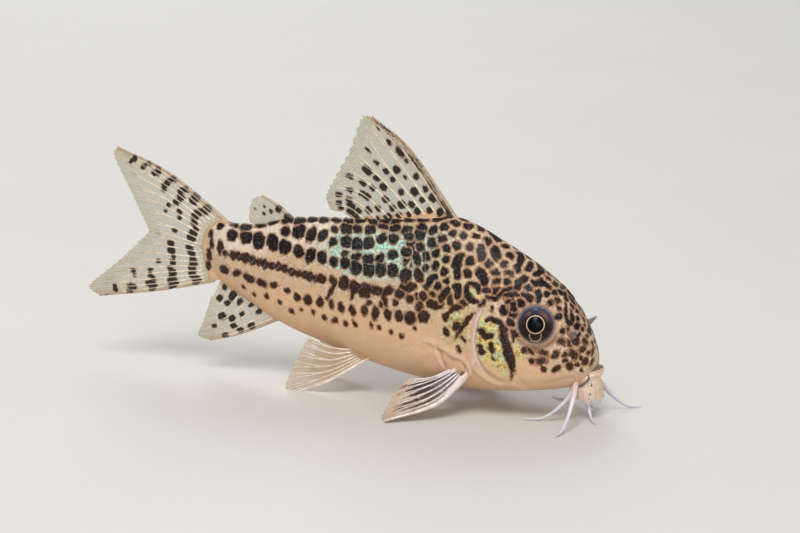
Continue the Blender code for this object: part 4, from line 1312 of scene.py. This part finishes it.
# Anal fin: a stiff front ray and seven branched ones carry a clear web, with slanting rows of
# spots. It grows out of the ridge under the tail.
ANAL = (
    ((42.9, 0, 8.4), (47.6, 0, 11.0), (51.6, 0, 13.0)),
    ((49.0, 0, 5.6), (50.8, 0, 8.0), (52.9, 0, 10.4)),
    ((53.6, 0, 4.2), (55.4, 0, 4.7), (54.7, 0, 6.3), (53.7, 0, 8.9), (53.2, 0, 10.2)),
)
ANAL_SPOTS = (
    (1.3, 0.55, 0.34, 0.8),
    (3.2, 0.50, 0.42, 0.9),
    (5.2, 0.48, 0.42, 0.95),
    (7.2, 0.42, 0.34, 0.85),
    (9.0, 0.28, 0.24, 0.6),
)
cells = (0.07, 0.22, 0.38, 0.54, 0.70, 0.86)
spots = fin_spots(ANAL, 1, cells, ANAL_SPOTS, -0.45, (0.84, 0.80), 1.5)
rays = (0.0, 0.05, 0.15, 0.30, 0.46, 0.62, 0.78, 0.94)
sizes = ((0.50, 1.6), (0.13, 0.05), (0.19, 0.10), 90, 0.02)
fin("anal_fin", 1, ANAL, rays, spots, (caudal_web, pale_rays), *sizes)

# Pectoral fins: a stout bony spine in front, and seven rays with dusky web between them.
# They spread low to the sides, and the fish props itself up on their tips.
PECTORAL = (
    ((15.2, 4.9, 5.9), (16.6, 5.2, 6.3)),
    ((17.9, 8.8, 2.1), (18.9, 8.2, 3.0), (19.5, 7.2, 4.3), (19.7, 6.7, 4.8)),
    ((23.6, 12.5, 0.2), (24.7, 10.8, 0.2), (24.4, 9.3, 1.5), (23.8, 8.2, 3.0), (22.5, 7.2, 4.4)),
)
PECTORAL_RAYS = (0.04, 0.17, 0.31, 0.45, 0.59, 0.73, 0.86, 0.97)
PECTORAL_SPOTS = ((2.6, 1.9, 0.17, 1), (5.6, 1.9, 0.20, 1), (8.2, 1.0, 0.11, 0.8))
PECTORAL_CELLS = (0.24, 0.38, 0.52, 0.66, 0.80, 0.92)
pectoral_web = web_finish("pectoral_web", ("#b0967f", "#c9ad94"), (0.60, 0.84), 0.4, "#3b2c2a")
pectoral_rays = ray_finish("pectoral_rays", "#ece4e7", "#d8c2b8", 0.0, 0.0, 0.0)
finishes = (pectoral_web, pectoral_rays)
sizes = ((0.50, 1.6), (0.15, 0.06), (0.44, 0.17), 84)
for side, label in SIDES:
    spots = fin_spots(PECTORAL, side, PECTORAL_CELLS, PECTORAL_SPOTS, 0, (0.72, 0.80))
    spots += fin_spots(PECTORAL, side, (0.30,), ((9.6, 0.8, 0.16, 1),), 0, (1, 1))
    fin("pectoral_fin_" + label, side, PECTORAL, PECTORAL_RAYS, spots, finishes, *sizes)

# Roots of the pectoral fins: fleshy knuckles that carry the spine and the rays out of the
# shoulder. They turn bony toward the fin, and the spine's one has a dark streak on top.
UP = (0.0, 0.0, 1.0)
SPINE_ROOT = (
    (14.6, 3.9, 8.0),
    (14.9, 4.7, 7.0),
    (15.25, 5.35, 5.9),
    (15.8, 6.2, 4.9),
    (16.5, 7.1, 3.9),
    (17.4, 8.1, 2.85),
)
SPINE_ROOT_RADII = (0.55, 0.64, 0.62, 0.52, 0.42, 0.20)
RAYS_ROOT = ((15.9, 4.0, 8.0), (16.2, 4.9, 7.0), (16.6, 5.5, 6.2), (17.3, 6.3, 5.4))
RAYS_ROOT_RADII = (0.50, 0.62, 0.54, 0.14)
# For each root: its line and radii, how bony its outer end is, and whether it has the streak
KNUCKLES = (
    ("spine", SPINE_ROOT, SPINE_ROOT_RADII, 1.0, True),
    ("rays", RAYS_ROOT, RAYS_ROOT_RADII, 0.7, False),
)
KNUCKLE_SIDES = 20
STREAK_WAY = (0.55, 0.62, 0.56)
SOFT = {"Coat_Weight": 0.2, "Coat_Roughness": 0.15, "Specular_IOR_Level": 0.3}
knuckle_finish = Finish("fin_knuckle", 0.4, **SOFT)
f = knuckle_finish
knuckle = f.mix(f.noise(0.8, 3), "#c2937a", "#dab39c")
bony = f.plus(f.field("out"), f.wobble(0.7, 2, 0.4))
knuckle = f.mix(f.ease(bony, 0.25, 0.75), knuckle, f.mix(f.noise(0.7, 2), "#d8c2b8", "#ece4e7"))
streak = f.plus(f.field("dark"), f.wobble(0.35, 2, 0.5))
f.set("Base Color", f.mix(f.ease(streak, 0.45, 0.65, 0.0, 0.9), knuckle, "#33241f"))
f.set("Normal", f.bump(f.noise(0.3, 2), 0.03, 0.6))


def round_each(values, sides):
    """Values along a tube's path, given to each point of its rings."""
    return np.repeat(values, sides, axis=0)


for side, label in SIDES:
    for name, path, widths, bony_end, streaked in KNUCKLES:
        share = np.linspace(0, 1, 36)
        line = along(path, share) * (1, side, 1)
        radii = along(np.array(widths)[:, None], share)[:, 0]
        points, faces = tube(line, radii, UP, KNUCKLE_SIDES)
        off = points[:-2] - round_each(line, KNUCKLE_SIDES)
        off = off / round_each(radii, KNUCKLE_SIDES)[:, None]
        dark = smooth(off @ unit(np.array(STREAK_WAY) * (1, side, 1)), 0.50, 0.92)
        streak_run = smooth(share, 0.16, 0.30) * smooth(-share, -0.70, -0.5)
        dark = dark * round_each(streak_run, KNUCKLE_SIDES) * streaked
        bony = share * bony_end
        out = np.append(round_each(bony, KNUCKLE_SIDES), (0, bony[-1]))
        fields = {"dark": np.append(dark, (0, 0)), "out": out}
        piece("pectoral_" + name + "_root_" + label, knuckle_finish, points, faces, fields)

# Pelvic fins: small soft paddles of eight rays with clear web between them, without marks.
# They grow out of the belly and lean back and down until their tips rest on the floor.
PELVIC = (
    ((29.8, 2.3, 5.1), (31.8, 2.1, 5.7)),
    ((34.6, 3.7, 1.9), (35.0, 3.6, 2.9), (34.9, 3.5, 4.4), (34.7, 3.4, 6.3)),
    (
        (39.2, 3.7, -0.15), (41.0, 3.7, 0.0), (40.5, 3.6, 2.1),
        (39.5, 3.5, 4.2), (38.5, 3.4, 6.1), (37.8, 3.4, 7.0),
    ),
)
PELVIC_RAYS = (0.0, 0.06, 0.20, 0.36, 0.52, 0.68, 0.84, 0.97)
PELVIC_FLESH = ("#ad8463", "#c09572")
pelvic_web = web_finish("pelvic_web", ("#bb9a76", "#cdae8b"), (0.52, 0.40), flesh=PELVIC_FLESH)
pelvic_rays = ray_finish("pelvic_rays", "#efe4dc", "#d9c3ae", 0.0, 0.0, 0.0)
sizes = ((0.36, 1.6), (0.13, 0.075), (0.20, 0.10), 72)
for side, label in SIDES:
    fin("pelvic_fin_" + label, side, PELVIC, PELVIC_RAYS, [], (pelvic_web, pelvic_rays), *sizes)

# Barbels: six soft round feelers round the mouth. They are pink where they leave the lips
# and bluish white and a little clear toward the tips, which rest on the floor.
BARBELS = {
    "maxillary_barbel_right": (
        (2.6, -1.6, 5.4), (2.2, -3.0, 4.4), (1.9, -5.2, 2.9), (1.9, -7.1, 1.4), (2.1, -8.6, 0.35),
        (2.4, -10.0, 0.15),
    ),
    "maxillary_barbel_left": (
        (1.4, 1.2, 5.0), (0.3, 2.2, 3.5), (-0.9, 3.4, 1.7), (-2.3, 4.5, 0.4), (-3.7, 5.6, 0.15),
    ),
    "rictal_barbel_right": (
        (2.9, -1.6, 5.0), (2.9, -2.7, 3.3), (4.2, -3.5, 1.6), (6.0, -4.2, 0.35), (8.2, -4.9, 0.15),
    ),
    "rictal_barbel_left": (
        (3.0, 1.6, 5.0), (3.0, 2.8, 3.3), (4.3, 3.7, 1.6), (5.9, 4.6, 0.35), (7.9, 5.4, 0.15),
    ),
    "mental_barbel_right": (
        (2.2, -0.7, 3.9), (1.4, -0.9, 2.5), (0.7, -1.7, 0.9), (0.1, -2.6, 0.3), (-0.6, -3.5, 0.15),
    ),
    "mental_barbel_left": (
        (2.4, 0.7, 3.9), (2.0, 1.0, 2.4), (1.7, 1.7, 0.9), (1.4, 2.5, 0.3), (1.1, 3.4, 0.15),
    ),
}
BARBEL_RADII = (0.46, 0.36, 0.28, 0.21, 0.15, 0.07)
MENTAL_SLIM = 0.78
BARBEL_SIDES = 14
barbel_finish = Finish("soft_barbel", 0.30, Coat_Weight=0.5, Coat_Roughness=0.12)
f = barbel_finish
flesh = f.mix(f.noise(0.7, 2), "#cda893", "#dcbcae")
bluish = f.mix(f.field("lit"), "#b9b6c6", "#ebe9f2")
f.set("Base Color", f.mix(f.ease(f.field("out"), 0.05, 0.5), flesh, bluish))
f.set("Alpha", f.ease(f.field("out"), 0.15, 0.9, 1.0, 0.82))
f.shader.inputs["Subsurface Weight"].default_value = 0.15
f.shader.inputs["Subsurface Scale"].default_value = 0.4 * MM
for label, path in BARBELS.items():
    share = np.linspace(0, 1, 56)
    line = along(path, share)
    radii = np.interp(share, np.linspace(0, 1, len(BARBEL_RADII)), BARBEL_RADII)
    radii = radii * (MENTAL_SLIM if "mental" in label else 1)
    line[:, 2] = np.maximum(line[:, 2], radii * 0.97)
    points, faces = tube(line, radii, UP, BARBEL_SIDES)
    above = points[:-2, 2] - round_each(line[:, 2], BARBEL_SIDES)
    lit = np.append(smooth(above, -0.2, 0.25), (1, 1))
    fields = {"out": np.append(round_each(share, BARBEL_SIDES), (0, 1)), "lit": lit}
    piece(label, barbel_finish, points, faces, fields, (label,))

# Webs between the barbels: thin soft skin that joins the roots of the two feelers that leave
# each corner of the mouth. It is cut in a curve between them.
WEB_REACH = 0.36
for side, label in SIDES:
    v = np.linspace(0, 1, 9)[None, :, None]
    out = np.linspace(0.0, WEB_REACH, 16)[:, None] * (1 - 0.45 * np.sin(math.pi * v[..., 0]))
    upper = along(BARBELS["maxillary_barbel_" + label], out.ravel()).reshape(out.shape + (3,))
    lower = along(BARBELS["rictal_barbel_" + label], out.ravel()).reshape(out.shape + (3,))
    sheet = upper + (lower - upper) * v
    over = normals_of(sheet, False) * 0.07
    faces = shell_faces(np.arange(out.size).reshape(out.shape))
    points = np.concatenate(((sheet + over).reshape(-1, 3), (sheet - over).reshape(-1, 3)))
    fields = {"out": np.tile(out.ravel() * 0.8, 2), "lit": np.full(2 * out.size, 0.5)}
    piece("barbel_web_" + label, barbel_finish, points, faces, fields)

# Mouth: a soft hood with a dark rim forms the upper lip. A thin skirt of skin with a lobed
# hem hangs from it round the opening and passes into the barbels.
SKIRT_TOP = (2.20, 2.28, 2.0)
SKIRT_HEM = (1.45, 1.85, 2.3)
SKIRT_THICK = 0.20
LIP_FOLD = ((1.15, 1.88, 6.0), (0.85, 1.90, 5.6), (0.95, 1.93, 5.1), (1.6, 2.06, 4.5), (2.2, 2.1, 4.2))
LIP_RADII = (0.12, 0.26, 0.40, 0.44, 0.40, 0.26, 0.12)
LIP_STEPS = 80
LIP_SIDES = 22
LIP_FROM = math.radians(86)
LIP_TURN = math.radians(188)
LIP_HANG = 1.2


def skirt_place(turn, drop):
    """Places on the skirt, by the turn round the mouth and the share of the way down."""
    ahead = -np.cos(turn)
    top = 5.40 + 0.85 * ahead
    hem = 1.95 + 0.75 * np.abs(np.sin(3.5 * turn + 0.4)) ** 0.8 + 1.1 * smooth(-ahead, 0.1, 0.9)
    swell = 1 + 0.10 * bell(drop - 0.09, 0.08) - 0.11 * bell(drop - 0.36, 0.15)
    swell = swell + 0.035 * drop * np.sin(13 * turn)
    middle, half, wide = ((a + (b - a) * drop) for a, b in zip(SKIRT_TOP, SKIRT_HEM))
    place = (middle - half * swell * ahead, wide * swell * np.sin(turn), top + (hem - top) * drop)
    return np.stack(np.broadcast_arrays(*place), -1)


turn = np.linspace(0, 2 * math.pi, 150, endpoint=False)[:, None]
drop = np.linspace(0, 1, 34)[None, :]
skirt = skirt_place(turn, drop)
skirt_out = normals_of(skirt.transpose(1, 0, 2), True).transpose(1, 0, 2)
skirt_half = SKIRT_THICK * (1 - 0.6 * drop)
skirt_out = skirt_out * (skirt_half / 2)[..., None]
points = np.concatenate(((skirt + skirt_out).reshape(-1, 3), (skirt - skirt_out).reshape(-1, 3)))
grid = np.arange(turn.size * drop.size).reshape(turn.size, drop.size)
onward = np.roll(grid, -1, axis=0)
corners = (grid[:, :-1], onward[:, :-1], onward[:, 1:], grid[:, 1:])
flat = list(zip(*(corner.ravel() for corner in corners)))
faces = flat + [tuple(k + grid.size for k in face[::-1]) for face in flat]
for col in (0, -1):
    rim = list(zip(grid[:, col], onward[:, col], onward[:, col] + grid.size, grid[:, col] + grid.size))
    faces += rim if col else [face[::-1] for face in rim]
skirt_finish = Finish("thin_lip_skin", 0.36, Coat_Weight=0.3, Coat_Roughness=0.15)
f = skirt_finish
web = f.mix(f.noise(0.8, 3), "#d4b498", "#ead3bd")
web = f.mix(f.ease(f.noise(0.5, 2), 0.5, 0.62, 0.0, 0.35), web, "#ead9c4")
specks = f.times(f.ease(f.noise(0.42, 1), 0.66, 0.71), f.ease(f.field("drop"), 0.3, 0.5))
f.set("Base Color", f.mix(specks, web, "#4a3a34"))
f.set("Alpha", f.ease(f.field("drop"), 0.30, 1.0, 1.0, 0.52))
fields = {"drop": np.tile((drop + 0 * turn).ravel(), 2)}
piece("lip_skirt", skirt_finish, points, faces, fields, ("lower_lip",))

lip_finish = Finish("soft_lip", 0.36, Coat_Weight=0.3, Coat_Roughness=0.15)
f = lip_finish
lip = f.mix(f.noise(0.6, 3), "#c9a384", "#dbbea2")
edge = f.plus(f.field("dark"), f.math("MULTIPLY_ADD", f.noise(0.3, 2), 0.8, -0.45))
f.set("Base Color", f.mix(f.ease(edge, 0.35, 0.6, 0.0, 0.88), lip, "#4b4852"))
share = np.linspace(0, 1, LIP_STEPS)
line = skirt_place(LIP_FROM + LIP_TURN * share, np.full(LIP_STEPS, 0.03))
line = line * (1, 0.94, 1) + (0.24, 0.0, 0.02)
radii = along(np.array(LIP_RADII)[:, None], share)[:, 0]
points, faces = tube(line, radii, UP, LIP_SIDES)
lip_radii = round_each(radii, LIP_SIDES)
rise = (points[:-2, 2] - round_each(line[:, 2], LIP_SIDES)) / lip_radii
points[:-2, 2] += np.clip(rise, -1, 0) * lip_radii * LIP_HANG
dark = smooth(np.minimum(share, 1 - share), 0.02, 0.10)
dark = smooth(rise, 0.25, 0.8) * round_each(dark, LIP_SIDES)
fields = {"dark": np.append(dark, (0, 0))}
piece("upper_lip", lip_finish, points, faces, fields, ("upper_lip",))
for side, label in SIDES:
    share = np.linspace(0, 1, 30)
    line = along(LIP_FOLD, share) * (1, side, 1)
    radii = 0.05 + 0.09 * np.sin(math.pi * share) ** 0.6
    points, faces = tube(line, radii, (0.0, 1.0, 0.0), 12)
    piece("lip_fold_" + label, lip_finish, points, faces, {"dark": np.full(len(points), 1.0)})

# Nostril flaps: a small upright flap of thin dusky skin beside each nostril, its edge and tip
# painted paler as a highlight. It grows out of the snout and leans outward.
NOSTRIL_ROOT = (3.15, 2.45, 10.1)
NOSTRIL_TIP = (1.8, 3.7, 11.7)
FLAP_SHARES = (0.0, 0.35, 0.7, 0.95)
FLAP_WIDTHS = (1.0, 1.1, 0.9, 0.45)
FLAP_HALF = 0.42
FLAP_THICK = 0.16
FLAP_STEPS = 20
FLAP_SIDES = 16
flap_finish = Finish("nostril_flap", 0.36, Coat_Weight=0.3, Coat_Roughness=0.2)
f = flap_finish
flap = f.mix(f.noise(0.5), "#755f53", "#9b8373")
flap = f.mix(f.ease(f.noise(0.26, 2), 0.54, 0.62, 0.0, 0.85), flap, "#3d3331")
# Painted highlight: the flap's edge and tip paler
f.set("Base Color", f.mix(f.ease(f.field("rim"), 0.80, 1.0, 0.0, 0.5), flap, "#c4bcbf"))
for side, label in SIDES:
    share = np.linspace(0, 1, FLAP_STEPS)
    root = np.array(NOSTRIL_ROOT) * (1, side, 1)
    tip = np.array(NOSTRIL_TIP) * (1, side, 1)
    bow = np.array((0.25, 0, 0)) * np.sin(math.pi * share)[:, None]
    line = root + (tip - root) * share[:, None] + bow
    facing = (0.3, 1.0 * side, 0.2)
    points, faces = tube(line, np.ones(FLAP_STEPS), facing, FLAP_SIDES)
    ring = points[:-2].reshape(FLAP_STEPS, FLAP_SIDES, 3) - line[:, None]
    wide = np.interp(share, FLAP_SHARES, FLAP_WIDTHS) * FLAP_HALF
    ahead = unit(tip - root)
    breadth = unit(np.cross(ahead, facing))
    on_breadth = ring @ breadth
    rest = ring - on_breadth[..., None] * breadth
    slim = FLAP_THICK * (1 - 0.5 * share)
    ring = on_breadth[..., None] * breadth * wide[:, None, None] + rest * slim[:, None, None]
    ends = (line[0] - ahead * 0.2, line[-1] + ahead * 0.15)
    points = np.concatenate(((line[:, None] + ring).reshape(-1, 3), ends))
    # rim: the flap's edge and tip, where a highlight is painted
    rim = np.maximum(np.abs(on_breadth), smooth(share, 0.75, 1.0)[:, None])
    fields = {"rim": np.append(rim.ravel(), (0, 1))}
    name = "nostril_flap_" + label
    piece(name, flap_finish, points, faces, fields, (name,))

# Floor, light and camera: a plain pale floor, three soft round lamps with a dim even sky,
# and a camera that sees the fish from the photo's side, height and distance
FLOOR_HALF = 3.0
floor_mesh = bpy.data.meshes.new("floor")
corners = [(x * FLOOR_HALF, y * FLOOR_HALF, 0.0) for x, y in ((-1, -1), (1, -1), (1, 1), (-1, 1))]
floor_mesh.from_pydata(corners, [], [(0, 1, 2, 3)])
floor = bpy.data.objects.new("floor", floor_mesh)
bpy.context.scene.collection.objects.link(floor)
floor_finish = Finish("pale_floor", 0.7)
floor_finish.set("Base Color", floor_finish.mix(floor_finish.noise(60, 2), "#d2cfc9", "#d8d5cf"))
floor_mesh.materials.append(floor_finish.material)

VIEW_TURN = math.radians(22.0)
VIEW_RISE = math.radians(14.0)
VIEW_FAR = 300.0
VIEW_WIDTH = 101.0
SENSOR_WIDTH = 36.0
VIEW_TARGET = Vector((SNOUT_AHEAD - 26.6, 0.0, 16.7)) * MM
level = math.cos(VIEW_RISE)
back_off = (math.sin(VIEW_TURN) * level, -math.cos(VIEW_TURN) * level, math.sin(VIEW_RISE))
back_off = Vector(back_off)
camera_data = bpy.data.cameras.new("camera")
camera_data.sensor_width = SENSOR_WIDTH
camera_data.lens = SENSOR_WIDTH * VIEW_FAR / VIEW_WIDTH
camera_data.clip_start = 0.01
camera_data.clip_end = 20.0
camera = bpy.data.objects.new("camera", camera_data)
camera.location = VIEW_TARGET + back_off * VIEW_FAR * MM
camera.rotation_euler = back_off.to_track_quat("Z", "Y").to_euler()
bpy.context.scene.collection.objects.link(camera)
bpy.context.scene.camera = camera


def lamp(name, place, width, power, tint):
    """A soft round lamp that looks at the fish, with its place in metres."""
    data = bpy.data.lights.new(name, "AREA")
    data.shape = "DISK"
    data.size = width
    data.energy = power
    data.color = tint
    obj = bpy.data.objects.new(name, data)
    obj.location = place
    obj.rotation_euler = (Vector(place) - VIEW_TARGET).to_track_quat("Z", "Y").to_euler()
    bpy.context.scene.collection.objects.link(obj)


lamp("key_lamp", (0.06, -0.34, 0.60), 0.34, 2.5, (1.0, 0.98, 0.95))
lamp("fill_lamp", (0.45, -0.60, 0.12), 0.50, 1.6, (1.0, 0.97, 0.94))
lamp("back_lamp", (-0.30, 0.45, 0.45), 0.40, 1.6, (0.92, 0.96, 1.0))
world = bpy.data.worlds.new("studio")
bpy.context.scene.world = world
world.use_nodes = True
world.node_tree.nodes["Background"].inputs["Color"].default_value = (0.85, 0.86, 0.88, 1.0)
world.node_tree.nodes["Background"].inputs["Strength"].default_value = 0.55
bpy.context.scene.view_settings.view_transform = "Standard"
